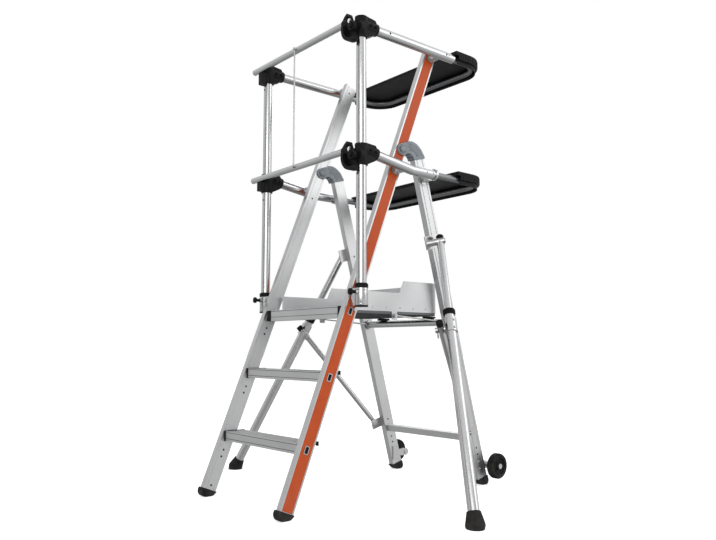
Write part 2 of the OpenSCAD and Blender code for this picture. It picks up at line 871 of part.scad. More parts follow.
// Tool tray over a loop: a floor on the tube, a flared rim and a narrower skirt round the tube
module rear_tray(z) color("#171717") {
  skirt_low = z + tray_rim_up - tray_height;
  floor_z = z + loop_d / 2 + fit_gap;
  step_z = z - tray_step;
  difference() {
    union() {
      translate([0, 0, step_z]) linear_extrude(z + tray_rim_up - step_z) tray_plan(-tray_flare);
      translate([0, 0, skirt_low]) linear_extrude(tray_height / 2) tray_plan(tray_tuck);
    }
    translate([0, 0, floor_z + tray_wall]) linear_extrude(tray_height) tray_plan(tray_wall - tray_flare);
    translate([0, 0, step_z + tray_wall]) linear_extrude(floor_z - step_z - tray_wall)
      tray_plan(tray_wall - tray_flare);
    translate([0, 0, skirt_low - over]) linear_extrude(floor_z - skirt_low + over)
      tray_plan(tray_tuck + tray_wall);
    translate([-2 * post_x, post_y, skirt_low - over])
      cube([4 * post_x, tray_reach + tray_tuck + tray_wall + over, floor_z - skirt_low + over]);
  }
}

module upper_rear_tray() rear_tray(top_z);

module lower_rear_tray() rear_tray(mid_z);

// Steel pins of the fixed frame: rail pins, leg pivots, platform hinges and gate hinges
module frame_pins() color("whitesmoke") {
  both_sides() {
    top_rail_frame() rail_pins();
    mid_rail_frame() rail_pins();
    translate(pivot) {
      cheek_out = half_w + run_gap + knuckle_cheek;
      cheek_in = stile_in - run_gap - knuckle_cheek;
      bar_x(cheek_in - run_gap, cheek_out + run_gap, pivot_pin_d);
      bar_x(cheek_out + run_gap, cheek_out + run_gap + pivot_head, pivot_head_d);
      bar_x(cheek_in - run_gap - pivot_head, cheek_in - run_gap, pivot_head_d);
    }
    translate([0, hinge_y, hinge_z]) {
      bar_x(deck_width / 2 - block_w, half_w, platform_pin_d);
      bar_x(half_w, half_w + axle_head, platform_head_d);
    }
  }
  for (z = [gate_top_z, gate_mid_z]) translate([post_x - hub_inset, 0, z - hub_drop]) {
    hub_face = gate_y - hub_thick / 2 - run_gap;
    bar_y(hub_face, post_y - gate_pin_back, gate_pin_d);
    bar_y(hub_face - gate_pin_head, hub_face, gate_pin_head_d);
  }
}

module rail_pins() for (i = [0, 1]) translate([0, 0, rail_pin_first + i * rail_pin_step]) {
  face = post_d / 2 + rail_joint_wall;
  bar_x(-face, face, rail_pin_d);
  bar_x(face, face + rail_pin_head, rail_pin_head_d);
  bar_x(-face - rail_pin_head, -face, rail_pin_head_d);
}

// Gate bars, their hinge hubs and the rod that links them
module gate_bar(z) color("silver") translate([0, gate_y, z]) {
  hub_x = post_x - hub_inset;
  rim_x = hub_x - sqrt(pow(hub_r, 2) - pow(hub_drop, 2));
  difference() {
    bar_x(-post_x - gate_overhang, hub_x - hub_core_r, gate_d);
    bar_x(-post_x - gate_overhang - over, rim_x, gate_d - 2 * gate_wall);
  }
  translate([link_x, 0, 0]) {
    pin_end = gate_d / 2 + 2 * run_gap + link_eye_w;
    bar_y(-pin_end, gate_wall - gate_d / 2, link_pin_d);
    bar_y(-pin_end - link_pin_head, -pin_end, 2 * link_pin_d);
  }
}

link_x = -link_share * post_x;
link_y = gate_y - gate_d / 2 - run_gap;

module gate_hub(z) color("#1b1b1b") translate([post_x - hub_inset, gate_y, z - hub_drop]) difference() {
  union() {
    rotate([90, 0, 0]) translate([0, 0, -hub_thick / 2]) {
      rotate([0, 0, hub_from]) rotate_extrude(angle = hub_to - hub_from, $fn = 96)
        translate([hub_r - hub_rim, 0]) square([hub_rim, hub_thick]);
      rotate([0, 0, hub_from]) rotate_extrude(angle = hub_to - hub_from, $fn = 96)
        square([hub_r - hub_rim / 2, hub_web]);
      cylinder(r = hub_core_r, h = hub_thick);
    }
    translate([0, 0, hub_drop]) bar_x(hub_rim / 2 - hub_r, -hub_core_r, gate_d + hub_web);
  }
  rotate([90, 0, 0]) translate([0, 0, -hub_thick]) cylinder(d = gate_pin_d + 2 * pin_gap, h = 2 * hub_thick);
  translate([0, 0, hub_drop]) bar_x(-2 * hub_r, -hub_core_r + over, gate_d + 2 * fit_gap);
  translate([-2 * hub_r, hub_thick / 2, -2 * hub_r]) cube([4 * hub_r, hub_thick, 4 * hub_r]);
  translate([-2 * hub_r, -3 * hub_thick / 2, -2 * hub_r]) cube([4 * hub_r, hub_thick, 4 * hub_r]);
}

module gate_top_bar() gate_bar(gate_top_z);

module gate_mid_bar() gate_bar(gate_mid_z);

module gate_top_hub() gate_hub(gate_top_z);

module gate_mid_hub() gate_hub(gate_mid_z);

// Thin rod with an eye on a pin of each gate bar
module gate_link_rod() color("gainsboro") translate([link_x, link_y, 0]) difference() {
  union() {
    translate([0, -link_eye_w / 2, gate_mid_z]) cylinder(d = link_d, h = gate_top_z - gate_mid_z);
    for (z = [gate_top_z, gate_mid_z]) translate([0, 0, z]) bar_y(-link_eye_w, 0, link_eye_d);
  }
  for (z = [gate_top_z, gate_mid_z]) translate([0, 0, z])
    bar_y(-link_eye_w - over, over, link_pin_d + 2 * pin_gap);
}

// Rear legs with their knuckles and shoes
module leg() color("silver") difference() {
  on_leg() difference() {
    translate([leg_in, 0, leg_shoe_top]) cube([leg_thick, leg_depth, leg_length - leg_shoe_top]);
    translate([leg_in + leg_wall, leg_wall, leg_shoe_top - over])
      cube([leg_thick - 2 * leg_wall, leg_depth - 2 * leg_wall, leg_length]);
    for (share = leg_line_shares)
      translate([half_w - line_depth, share * leg_depth - line_w / 2, leg_shoe_top - over])
        cube([line_depth + over, line_w, leg_length]);
  }
}

module left_rear_leg() left_side() leg();

module right_rear_leg() leg();

module leg_knuckles() color("slategray") both_sides() {
  cheeks = stile_thick + 2 * run_gap + 2 * knuckle_cheek;
  x_mid = half_w - stile_thick / 2;
  difference() {
    translate([x_mid, 0, 0]) across(cheeks) hull() {
      translate([pivot.y, pivot.z]) circle(r = knuckle_nose_r);
      translate([pivot.y + knuckle_crown_y, pivot.z + knuckle_crown_z]) circle(r = knuckle_crown_r);
      translate([pivot.y + knuckle_bend_y, pivot.z + knuckle_bend_z]) circle(r = knuckle_bend_r);
      translate([pivot.y + knuckle_heel_y, pivot.z + knuckle_heel_z]) circle(r = knuckle_heel_r);
      translate([leg_foot_y, 0]) rotate(leg_lean) translate([-knuckle_cheek, leg_length])
        square([leg_depth + knuckle_cheek, knuckle_cheek]);
    }
    translate(pivot + [0, knuckle_bay_y, -knuckle_bay_z])
      bar_x(stile_in - 2 * knuckle_cheek, half_w + 2 * knuckle_cheek, 2 * knuckle_bay_r);
    translate(pivot)
      bar_x(stile_in - 2 * knuckle_cheek, half_w + 2 * knuckle_cheek, pivot_pin_d + 2 * pin_gap);
    for (turn = [-stile_lean, fold_angle + fold_spare - stile_lean]) translate(pivot) rotate([turn, 0, 0])
      translate([stile_in - run_gap, -2 * leg_depth, -4 * leg_depth])
        cube([stile_thick + 2 * run_gap, 2 * leg_depth + stile_depth / 2 + knuckle_clear, 8 * leg_depth]);
  }
  on_leg() translate([leg_in + leg_wall + fit_gap, leg_wall + fit_gap, leg_length - knuckle_plug])
    cube([leg_thick - 2 * leg_wall - 2 * fit_gap, leg_depth - 2 * leg_wall - 2 * fit_gap, knuckle_plug]);
}

module leg_shoes() color("#1c1c1c") both_sides() {
  toe_y = leg_foot_y + leg_shoe_in + leg_shoe_r;
  translate([half_w - leg_thick / 2, 0, 0]) across(leg_thick + 2 * shoe_lip) difference() {
    hull() {
      for (y = [toe_y, toe_y + leg_shoe_flat]) translate([y, leg_shoe_r]) circle(r = leg_shoe_r);
      translate([leg_foot_y, 0]) rotate(leg_lean)
        translate([-shoe_lip, leg_shoe_top - shoe_lip]) square([leg_depth + 2 * shoe_lip, shoe_lip]);
    }
    translate([leg_foot_y, 0]) rotate(leg_lean)
      translate([-2 * leg_depth, leg_shoe_top]) square([4 * leg_depth, leg_depth]);
  }
  on_leg() translate([leg_in + leg_wall + fit_gap, leg_wall + fit_gap, leg_shoe_top])
    cube([leg_thick - 2 * leg_wall - 2 * fit_gap, leg_depth - 2 * leg_wall - 2 * fit_gap, shoe_plug]);
}

module rear_cross_tube() color("silver") translate([0, cross_y, cross_z]) difference() {
  bar_x(-leg_in, leg_in, cross_d);
  bar_x(-leg_in - over, leg_in + over, cross_d - 2 * tube_wall);
}

module rear_cross_bar() color("silver") on_leg()
  translate([0, bar_in, (cross_bar_z / cos(leg_lean)) - bar_height / 2]) difference() {
    translate([-leg_in, 0, 0]) cube([2 * leg_in, bar_depth, bar_height]);
    translate([-leg_in - over, bar_wall, bar_wall])
      cube([2 * leg_in + 2 * over, bar_depth - 2 * bar_wall, bar_height - 2 * bar_wall]);
  }

// Sheet brackets on the legs: wheel plates, rail saddles, stabiliser and brace lugs
module leg_brackets() color("gainsboro") both_sides() {
  wheel_plate();
  rail_saddle();
  stab_lug();
  brace_lug();
}

module wheel_plate() translate([leg_in - wheel_bracket_plate, 0, 0]) difference() {
  front = leg_mid(wheel_z) - wheel_bracket_eye_r;
  union() {
    translate([0, wheel_y, wheel_z]) bar_x(0, wheel_bracket_plate, 2 * wheel_bracket_eye_r);
    translate([0, front, wheel_z - wheel_bracket_h / 4])
      cube([wheel_bracket_plate, wheel_y - front, wheel_bracket_h / 2]);
    translate([0, front, wheel_z - wheel_bracket_h / 2])
      cube([wheel_bracket_plate, 2 * wheel_bracket_eye_r, wheel_bracket_h]);
  }
  translate([0, wheel_y, wheel_z]) bar_x(-over, wheel_bracket_plate + over, axle_d + 2 * fit_gap);
}

module rail_saddle() {
  z = mid_z - post_d / 2 - run_gap - saddle_h;
  translate([half_w, leg_front(z) + saddle_y, z]) difference() {
    translate([0, -saddle_w / 2, 0]) cube([saddle_reach, saddle_w, saddle_h]);
    translate([bracket_plate, -saddle_w, -over])
      cube([saddle_reach, 2 * saddle_w, saddle_h - bracket_plate + over]);
  }
}

// Boss along the fold axis from a plate on the leg to a pivot
module leg_lug(at, top, plate_w, plate_h, plate_front) {
  leg_z = at.z / cos(leg_lean);
  difference() {
    union() {
      on_leg() translate([half_w, -plate_front, leg_z - plate_h / 2]) cube([lug_plate, plate_w, plate_h]);
      intersection() {
        frame_at(at, fold_axis, leg_dir) translate([0, 0, -2 * post_offset - top])
          cylinder(d = boss_d, h = 2 * post_offset);
        translate([half_w + lug_plate / 2, at.y - plate_w, at.z - plate_w])
          cube([2 * post_offset, 2 * plate_w, 2 * plate_w]);
      }
    }
    frame_at(at, fold_axis, leg_dir) translate([0, 0, -2 * post_offset])
      cylinder(d = stab_pin_d + 2 * fit_gap, h = 2 * post_offset);
  }
}

module stab_lug()
  leg_lug(stab_top, stab_eye_l / 2 + run_gap, stab_plate_w, stab_plate_h, stab_plate_front);

module brace_lug()
  leg_lug(brace_pivot, brace_eye_l / 2 + run_gap, brace_plate_w, brace_plate_h, brace_plate_front);

// Steel pins of the rear frame: wheel axles, stabiliser pivots and brace pivots
module rear_frame_pins() color("whitesmoke") both_sides() {
  wheel_end = wheel_x + wheel_width + run_gap;
  translate([0, wheel_y, wheel_z]) {
    bar_x(leg_in - wheel_bracket_plate, wheel_end, axle_d);
    bar_x(wheel_end, wheel_end + axle_head, axle_head_d);
    bar_x(leg_in - wheel_bracket_plate - axle_head, leg_in - wheel_bracket_plate, axle_head_d);
    bar_x(leg_in, wheel_x - wheel_boss_l - run_gap, hub_spacer_d);
  }
  pivot_pin(stab_top, stab_eye_l);
  pivot_pin(brace_pivot, brace_eye_l);
}

module pivot_pin(at, eye_l) intersection() {
  reach = 2 * post_offset;
  frame_at(at, fold_axis, leg_dir) {
    translate([0, 0, -reach]) cylinder(d = stab_pin_d, h = reach + eye_l / 2 + run_gap);
    translate([0, 0, eye_l / 2 + run_gap]) cylinder(d = stab_pin_head_d, h = stab_pin_head);
  }
  translate([half_w, at.y - reach, at.z - reach]) cube([2 * reach, 2 * reach, 2 * reach]);
}

module wheel() color("#151515") translate([wheel_x, wheel_y, wheel_z]) rotate([0, 90, 0]) difference() {
  rotate_extrude($fn = 96) difference() {
    union() {
      square([wheel_d / 2 - tyre_round, wheel_width]);
      translate([0, -wheel_boss_l]) square([wheel_boss_d / 2, wheel_boss_l + wheel_width / 2]);
      translate([0, tyre_round]) square([wheel_d / 2, wheel_width - 2 * tyre_round]);
      for (h = [tyre_round, wheel_width - tyre_round])
        translate([wheel_d / 2 - tyre_round, h]) circle(r = tyre_round);
    }
    translate([-wheel_d, -wheel_boss_l]) square([wheel_d, wheel_width + wheel_boss_l]);
    translate([0, -wheel_boss_l - over])
      square([axle_d / 2 + pin_gap, wheel_width + wheel_boss_l + 2 * over]);
    translate([hub_spacer_d / 2, wheel_width - wheel_dish])
      square([wheel_d / 2 * wheel_rim_share - hub_spacer_d / 2, wheel_dish + over]);
  }
}

module left_wheel() left_side() wheel();

module right_wheel() wheel();

// Plan of the platform with round rear corners, from the hinge to its rear edge
module deck_plan(inset) {
  side = toe_x - inset;
  rear = deck_rear - inset;
  corner = toe_corner - inset;
  translate([-side, hinge_y]) square([2 * side, deck_length - toe_corner]);
  translate([corner - side, hinge_y]) square([2 * (side - corner), rear - hinge_y]);
  for (turn = [-1, 1]) translate([turn * (side - corner), rear - corner]) circle(r = corner, $fn = 96);
}

// Deck: a ribbed skin with a rolled front edge on the hinge pins
module platform_deck() color("gray") difference() {
  union() {
    difference() {
      translate([0, 0, deck_low]) linear_extrude(deck_thick) deck_plan(toe_sheet);
      translate([0, 0, deck_low - over]) linear_extrude(deck_thick - deck_skin + over) difference() {
        deck_plan(toe_sheet + deck_rib);
        for (i = [1 : deck_ribs])
          translate([deck_width * (i / (deck_ribs + 1) - 1 / 2) - deck_rib / 2, hinge_y])
            square([deck_rib, deck_length]);
        translate([-deck_width, hinge_y]) square([2 * deck_width, deck_thick / 2]);
      }
    }
    translate([0, hinge_y, hinge_z]) bar_x(-deck_width / 2, deck_width / 2, deck_thick);
  }
  translate([0, hinge_y, hinge_z]) bar_x(-deck_width, deck_width, platform_pin_d + 2 * pin_gap);
}

// Toe board: one bent sheet, higher at the rear, with a tab on each side for a spreader rod
module toe_board() color("lightgray") {
  low = deck_top - toe_overlap;
  difference() {
    translate([0, 0, low]) linear_extrude(toe_overlap + toe_high) difference() {
      deck_plan(0);
      deck_plan(toe_sheet - fit_gap);
    }
    translate([-deck_width, hinge_y - over, low - over])
      cube([2 * deck_width, toe_front + over, 2 * toe_high]);
    across(2 * deck_width) polygon([[hinge_y, deck_top + toe_low],
      [hinge_y + toe_step, deck_top + toe_low],
      [hinge_y + toe_step + toe_step_run, deck_top + toe_high],
      [hinge_y + toe_step + toe_step_run, deck_top + 2 * toe_high],
      [hinge_y, deck_top + 2 * toe_high]]);
  }
  both_sides() translate([toe_x - toe_sheet + fit_gap, tab_y - tab_w / 2, tab_z - tab_low])
    cube([toe_sheet - fit_gap, tab_w, low - tab_z + tab_low + toe_overlap / 2]);
}

module platform_pads() color("#1c1c1c") both_sides()
  translate([pad_x - pad_w / 2, cross_y - pad_depth / 2, deck_low - pad_height])
    cube([pad_w, pad_depth, pad_height]);

// Spreader rods: an eye on the cross tube and a flat tip beside the toe board's tab
module spreader_rods() color("gainsboro") both_sides() translate([rod_x, 0, 0]) difference() {
  union() {
    translate([0, cross_y, cross_z]) bar_x(0, rod_eye_w, cross_d + 2 * run_gap + 2 * rod_eye_wall);
    translate([0, tab_y, tab_z]) bar_x(0, rod_eye_w, rod_tip_d);
    translate([0, tab_y, tab_z]) bar_x(run_gap - rod_gap, rod_eye_w / 2, rod_tip_d * rod_boss_share);
    translate([rod_eye_w / 2, tab_y, tab_z]) rotate([-90 - atan2(tab_z - cross_z, cross_y - tab_y), 0, 0])
      cylinder(d = rod_d, h = norm([cross_y - tab_y, cross_z - tab_z]));
  }
  translate([0, cross_y, cross_z]) bar_x(-over, rod_eye_w + over, cross_d + 2 * run_gap);
}

// Stabilisers, drawn for the right side
module stab_tube() color("silver") difference() {
  union() {
    stab_frame() bar_x(-stab_eye_l / 2, stab_eye_l / 2, stab_eye_d);
    stab_frame() cylinder(d = stab_upper_d, h = stab_cap_at + stab_lap);
  }
  stab_frame(stab_eye_d / 2 + over) cylinder(d = stab_upper_d - 2 * tube_wall, h = stab_cap_at + stab_lap);
  stab_frame() bar_x(-stab_eye_l, stab_eye_l, stab_pin_d + 2 * pin_gap);
}

module stab_collar() color("gainsboro") difference() {
  union() {
    stab_frame(stab_clamp_at)
      cylinder(d = stab_lower_d + 2 * fit_gap + 2 * stab_clamp_wall, h = stab_clamp_l);
    stab_frame(stab_lug_at) bar_x(brace_d / 2 + run_gap - brace_gap, 0, stab_lug_d);
  }
  stab_frame(stab_clamp_at - over) cylinder(d = stab_lower_d + 2 * fit_gap, h = stab_clamp_l + 2 * over);
}

foot_at = stab_len - foot_height;

module stab_leg() color("silver") stab_frame(stab_cap_at)
  pipe(stab_lower_d, tube_wall, foot_at - stab_cap_at + foot_rim);

// Guide cap on the lower tube and the rubber foot, cut flat on the floor
module stab_rubbers() color("#161616") {
  difference() {
    stab_frame(stab_cap_at - stab_cap_up)
      cylinder(d = stab_lower_d + 2 * stab_cap_wall, h = stab_cap_up + stab_cap_down);
    stab_frame(stab_cap_at) cylinder(d = stab_lower_d + 2 * fit_gap, h = stab_cap_down + over);
    stab_frame(stab_cap_at - stab_cap_up - over)
      cylinder(d = stab_upper_d + 2 * run_gap, h = stab_cap_up + 2 * over);
  }
  difference() {
    stab_frame(foot_at) rotate_extrude() polygon([[0, 0], [foot_neck_d / 2, 0],
      [stab_foot_d / 2, foot_height - foot_rim], [stab_foot_d / 2, foot_height - foot_rim + foot_rim_l],
      [stab_foot_d / 2 * foot_sole_share, foot_height + foot_rim], [0, foot_height + foot_rim]]);
    stab_frame(foot_at - over) cylinder(d = stab_lower_d + 2 * fit_gap, h = foot_rim + over + fit_gap);
    translate(stab_foot - [stab_foot_d, stab_foot_d, 2 * stab_foot_d])
      cube([2 * stab_foot_d, 2 * stab_foot_d, 2 * stab_foot_d]);
  }
}

module brace() color("darkgray") difference() {
  union() {
    brace_frame() bar_x(-brace_eye_l / 2, brace_eye_l / 2, brace_eye_d);
    brace_frame() translate([-brace_eye_l / 2, -brace_tab_w / 2, 0])
      cube([brace_eye_l, brace_tab_w, brace_neck + over]);
    brace_frame(brace_neck) cylinder(d = brace_d, h = brace_len - brace_neck);
  }
  brace_frame(brace_neck + 2 * over) cylinder(d = brace_d - 2 * brace_wall, h = brace_len);
  brace_frame() bar_x(-brace_eye_l, brace_eye_l, stab_pin_d + 2 * pin_gap);
  brace_frame(brace_len - brace_past) bar_x(-brace_d, brace_d, lock_d + 2 * run_gap);
}

module lock_pin() color("whitesmoke") brace_frame(brace_len - brace_past) {
  bar_x(-brace_d / 2 - run_gap - lock_head, brace_d / 2, lock_d);
  bar_x(-brace_d / 2 - run_gap - lock_head, -brace_d / 2 - run_gap, lock_head_d);
  translate([-brace_d / 2 - run_gap - lock_head / 2, 0, -lock_head_d / 2 - lock_ring_d / 2 + lock_ring_wire])
    rotate([0, 90, 0]) rotate_extrude() translate([lock_ring_d / 2, 0]) circle(d = lock_ring_wire, $fn = 24);
}

module left_stabiliser_tube() left_side() stab_tube();

module right_stabiliser_tube() stab_tube();

module left_stabiliser_collar() left_side() stab_collar();

module right_stabiliser_collar() stab_collar();

module left_stabiliser_leg() left_side() stab_leg();

module right_stabiliser_leg() stab_leg();

module left_stabiliser_rubbers() left_side() stab_rubbers();

module right_stabiliser_rubbers() stab_rubbers();

module left_brace() left_side() brace();

module right_brace() brace();

module left_lock_pin() left_side() lock_pin();

module right_lock_pin() lock_pin();

left_stile();
right_stile();
stile_strips();
stile_shoes();
lower_tread();
upper_tread();
tread_end_caps();
platform_nosing();
tenon_plugs();
left_post();
right_post();
post_sockets();
post_collars();
right_top_connector();
right_mid_connector();
left_top_connector();
left_mid_connector();
left_top_rail();
right_top_rail();
left_mid_rail();
right_mid_rail();
upper_rear_loop();
lower_rear_loop();
upper_rear_tray();
lower_rear_tray();
rail_brackets();
frame_pins();
gate_top_bar();
gate_top_hub();
gate_mid_bar();
gate_mid_hub();
gate_link_rod();
left_lock_knob();
right_lock_knob();
left_rear_leg();
right_rear_leg();
leg_knuckles();
leg_shoes();
rear_cross_tube();
rear_cross_bar();
leg_brackets();
rear_frame_pins();
left_wheel();
right_wheel();
platform_deck();
toe_board();
platform_pads();
spreader_rods();
left_stabiliser_tube();
right_stabiliser_tube();
left_stabiliser_collar();
right_stabiliser_collar();
left_stabiliser_leg();
right_stabiliser_leg();
left_stabiliser_rubbers();
right_stabiliser_rubbers();
left_brace();
right_brace();
left_lock_pin();
right_lock_pin();
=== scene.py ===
import math
import bmesh
import bpy
from mathutils import Matrix, Vector


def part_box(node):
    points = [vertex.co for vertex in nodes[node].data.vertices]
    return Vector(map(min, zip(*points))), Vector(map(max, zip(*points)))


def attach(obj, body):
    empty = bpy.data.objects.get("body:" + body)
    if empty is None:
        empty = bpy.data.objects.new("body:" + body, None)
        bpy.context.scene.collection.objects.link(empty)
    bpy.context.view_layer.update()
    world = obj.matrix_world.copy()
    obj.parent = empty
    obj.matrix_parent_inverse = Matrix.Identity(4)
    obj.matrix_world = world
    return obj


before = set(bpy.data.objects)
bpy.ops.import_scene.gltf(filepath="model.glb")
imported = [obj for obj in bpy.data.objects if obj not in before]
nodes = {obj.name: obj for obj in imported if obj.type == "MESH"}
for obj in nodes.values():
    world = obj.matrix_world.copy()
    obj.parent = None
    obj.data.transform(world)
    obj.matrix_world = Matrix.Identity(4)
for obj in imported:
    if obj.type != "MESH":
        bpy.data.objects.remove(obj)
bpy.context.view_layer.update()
mm = 0.001
print("frame loaded")

# where the solids are, in millimetres and degrees
places = {"halfWidth": 266.0, "stileIn": 243.0, "legIn": 240.0, "stileFootY": -552.0, "legFootY": 428.0,
          "stileLean": 21.8, "legLean": 15.35, "stileDepth": 56.0, "legDepth": 53.5, "postX": 309.0,
          "postY": -234.0, "gateY": -272.0, "topZ": 1726.0, "midZ": 1226.0, "midPostZ": 1263.36,
          "pivotZ": 1313.0}


def stileMid(z):
    lean = math.radians(places["stileLean"])
    return places["stileFootY"] + z * math.tan(lean) + places["stileDepth"] / 2 / math.cos(lean)


def legMid(z):
    lean = math.radians(places["legLean"])
    return places["legFootY"] - z * math.tan(lean) + places["legDepth"] / 2 / math.cos(lean)


def newGroup(name, inputs, outputs):
    tree = bpy.data.node_groups.new(name, "ShaderNodeTree")
    for label, kind, value in inputs:
        s = tree.interface.new_socket(label, in_out="INPUT", socket_type=kind)
        if value is not None:
            s.default_value = value
    for label, kind in outputs:
        tree.interface.new_socket(label, in_out="OUTPUT", socket_type=kind)
    return tree, tree.nodes.new("NodeGroupInput"), tree.nodes.new("NodeGroupOutput")


def mathNode(tree, kind, a, b=None, clamp=False):
    n = tree.nodes.new("ShaderNodeMath")
    n.operation = kind
    n.use_clamp = clamp
    for i, v in enumerate((a, b)):
        if v is None:
            continue
        if isinstance(v, (int, float)):
            n.inputs[i].default_value = v
        else:
            tree.links.new(v, n.inputs[i])
    return n.outputs[0]


def noiseNode(tree, where, scale, detail):
    n = tree.nodes.new("ShaderNodeTexNoise")
    n.inputs["Detail"].default_value = detail
    tree.links.new(where, n.inputs["Vector"])
    if isinstance(scale, float):
        n.inputs["Scale"].default_value = scale
    else:
        tree.links.new(scale, n.inputs["Scale"])
    return n.outputs["Fac"]


def bumpNode(tree, height, strength, depth):
    n = tree.nodes.new("ShaderNodeBump")
    n.inputs["Distance"].default_value = depth
    tree.links.new(strength, n.inputs["Strength"])
    tree.links.new(height, n.inputs["Height"])
    return n.outputs[0]


def patches(tree, where, values):  # noise cut into separate patches
    fac = noiseNode(tree, where, values["patch"], values["patchDetail"])
    return mathNode(tree, "MULTIPLY", mathNode(tree, "SUBTRACT", fac, values["cut"]), values["gain"], True)


floatSocket, vectorSocket = "NodeSocketFloat", "NodeSocketVector"
drawnLines = {"fine": 900.0, "stretch": 0.012, "bump": 0.08, "detail": 3.0, "cloud": 9.0, "cloudDetail": 5.0,
              "depth": 0.0004}


def streakGroup():  # long fine drawing lines and a slow cloudy change
    tree, gin, gout = newGroup(
        "drawnLines",
        [("Vector", vectorSocket, None), ("Fine", floatSocket, drawnLines["fine"]),
         ("Stretch", floatSocket, drawnLines["stretch"]), ("Bump", floatSocket, drawnLines["bump"])],
        [("Lines", floatSocket), ("Cloud", floatSocket), ("Normal", vectorSocket)])
    scale = tree.nodes.new("ShaderNodeCombineXYZ")
    scale.inputs[0].default_value = scale.inputs[1].default_value = 1.0
    tree.links.new(gin.outputs["Stretch"], scale.inputs[2])
    long = tree.nodes.new("ShaderNodeVectorMath")
    long.operation = "MULTIPLY"
    tree.links.new(gin.outputs["Vector"], long.inputs[0])
    tree.links.new(scale.outputs[0], long.inputs[1])
    lines = noiseNode(tree, long.outputs[0], gin.outputs["Fine"], drawnLines["detail"])
    cloud = noiseNode(tree, gin.outputs["Vector"], drawnLines["cloud"], drawnLines["cloudDetail"])
    tree.links.new(lines, gout.inputs["Lines"])
    tree.links.new(cloud, gout.inputs["Cloud"])
    tree.links.new(bumpNode(tree, lines, gin.outputs["Bump"], drawnLines["depth"]), gout.inputs["Normal"])
    return tree


mouldGrain = {"fine": 1400.0, "bump": 0.1, "cloud": 24.0, "cloudDetail": 6.0, "depth": 0.0005}


def grainGroup():  # moulded or sandy surface
    tree, gin, gout = newGroup(
        "mouldGrain",
        [("Vector", vectorSocket, None), ("Fine", floatSocket, mouldGrain["fine"]),
         ("Bump", floatSocket, mouldGrain["bump"])],
        [("Cloud", floatSocket), ("Normal", vectorSocket)])
    fine = tree.nodes.new("ShaderNodeTexVoronoi")
    tree.links.new(gin.outputs["Vector"], fine.inputs["Vector"])
    tree.links.new(gin.outputs["Fine"], fine.inputs["Scale"])
    cloud = noiseNode(tree, gin.outputs["Vector"], mouldGrain["cloud"], mouldGrain["cloudDetail"])
    tree.links.new(cloud, gout.inputs["Cloud"])
    grain = bumpNode(tree, fine.outputs["Distance"], gin.outputs["Bump"], mouldGrain["depth"])
    tree.links.new(grain, gout.inputs["Normal"])
    return tree


edgeWear = {"radius": 0.0015, "samples": 4, "gather": 5.0, "patch": 60.0, "patchDetail": 4.0, "cut": 0.38,
            "gain": 3.0}


def wearGroup():  # pale rubbed edges
    tree, gin, gout = newGroup("edgeWear", [("Vector", vectorSocket, None),
                                            ("Radius", floatSocket, edgeWear["radius"])], [("Mask", floatSocket)])
    soft = tree.nodes.new("ShaderNodeBevel")
    soft.samples = edgeWear["samples"]
    tree.links.new(gin.outputs["Radius"], soft.inputs["Radius"])
    plain = tree.nodes.new("ShaderNodeNewGeometry")
    dot = tree.nodes.new("ShaderNodeVectorMath")
    dot.operation = "DOT_PRODUCT"
    tree.links.new(soft.outputs[0], dot.inputs[0])
    tree.links.new(plain.outputs["Normal"], dot.inputs[1])
    bend = mathNode(tree, "SUBTRACT", 1.0, dot.outputs["Value"])
    edge = mathNode(tree, "MULTIPLY", bend, edgeWear["gather"], True)
    part = patches(tree, gin.outputs["Vector"], edgeWear)
    tree.links.new(mathNode(tree, "MULTIPLY", edge, part, True), gout.inputs["Mask"])
    return tree


floorDust = {"height": 0.22, "patch": 35.0, "patchDetail": 7.0, "cut": 0.35, "gain": 1.6}


def dustGroup():  # pale dust that thins out above the floor
    tree, gin, gout = newGroup("floorDust", [("Vector", vectorSocket, None),
                                             ("Height", floatSocket, floorDust["height"])], [("Mask", floatSocket)])
    split = tree.nodes.new("ShaderNodeSeparateXYZ")
    tree.links.new(gin.outputs["Vector"], split.inputs[0])
    share = mathNode(tree, "DIVIDE", split.outputs[2], gin.outputs["Height"])
    fall = mathNode(tree, "SUBTRACT", 1.0, share, True)
    part = patches(tree, gin.outputs["Vector"], floorDust)
    tree.links.new(mathNode(tree, "MULTIPLY", fall, part, True), gout.inputs["Mask"])
    return tree


groups = {"lines": streakGroup(), "grain": grainGroup(), "wear": wearGroup(), "dust": dustGroup()}
noiseRange = (0.3, 0.7)  # where most of a noise's values lie


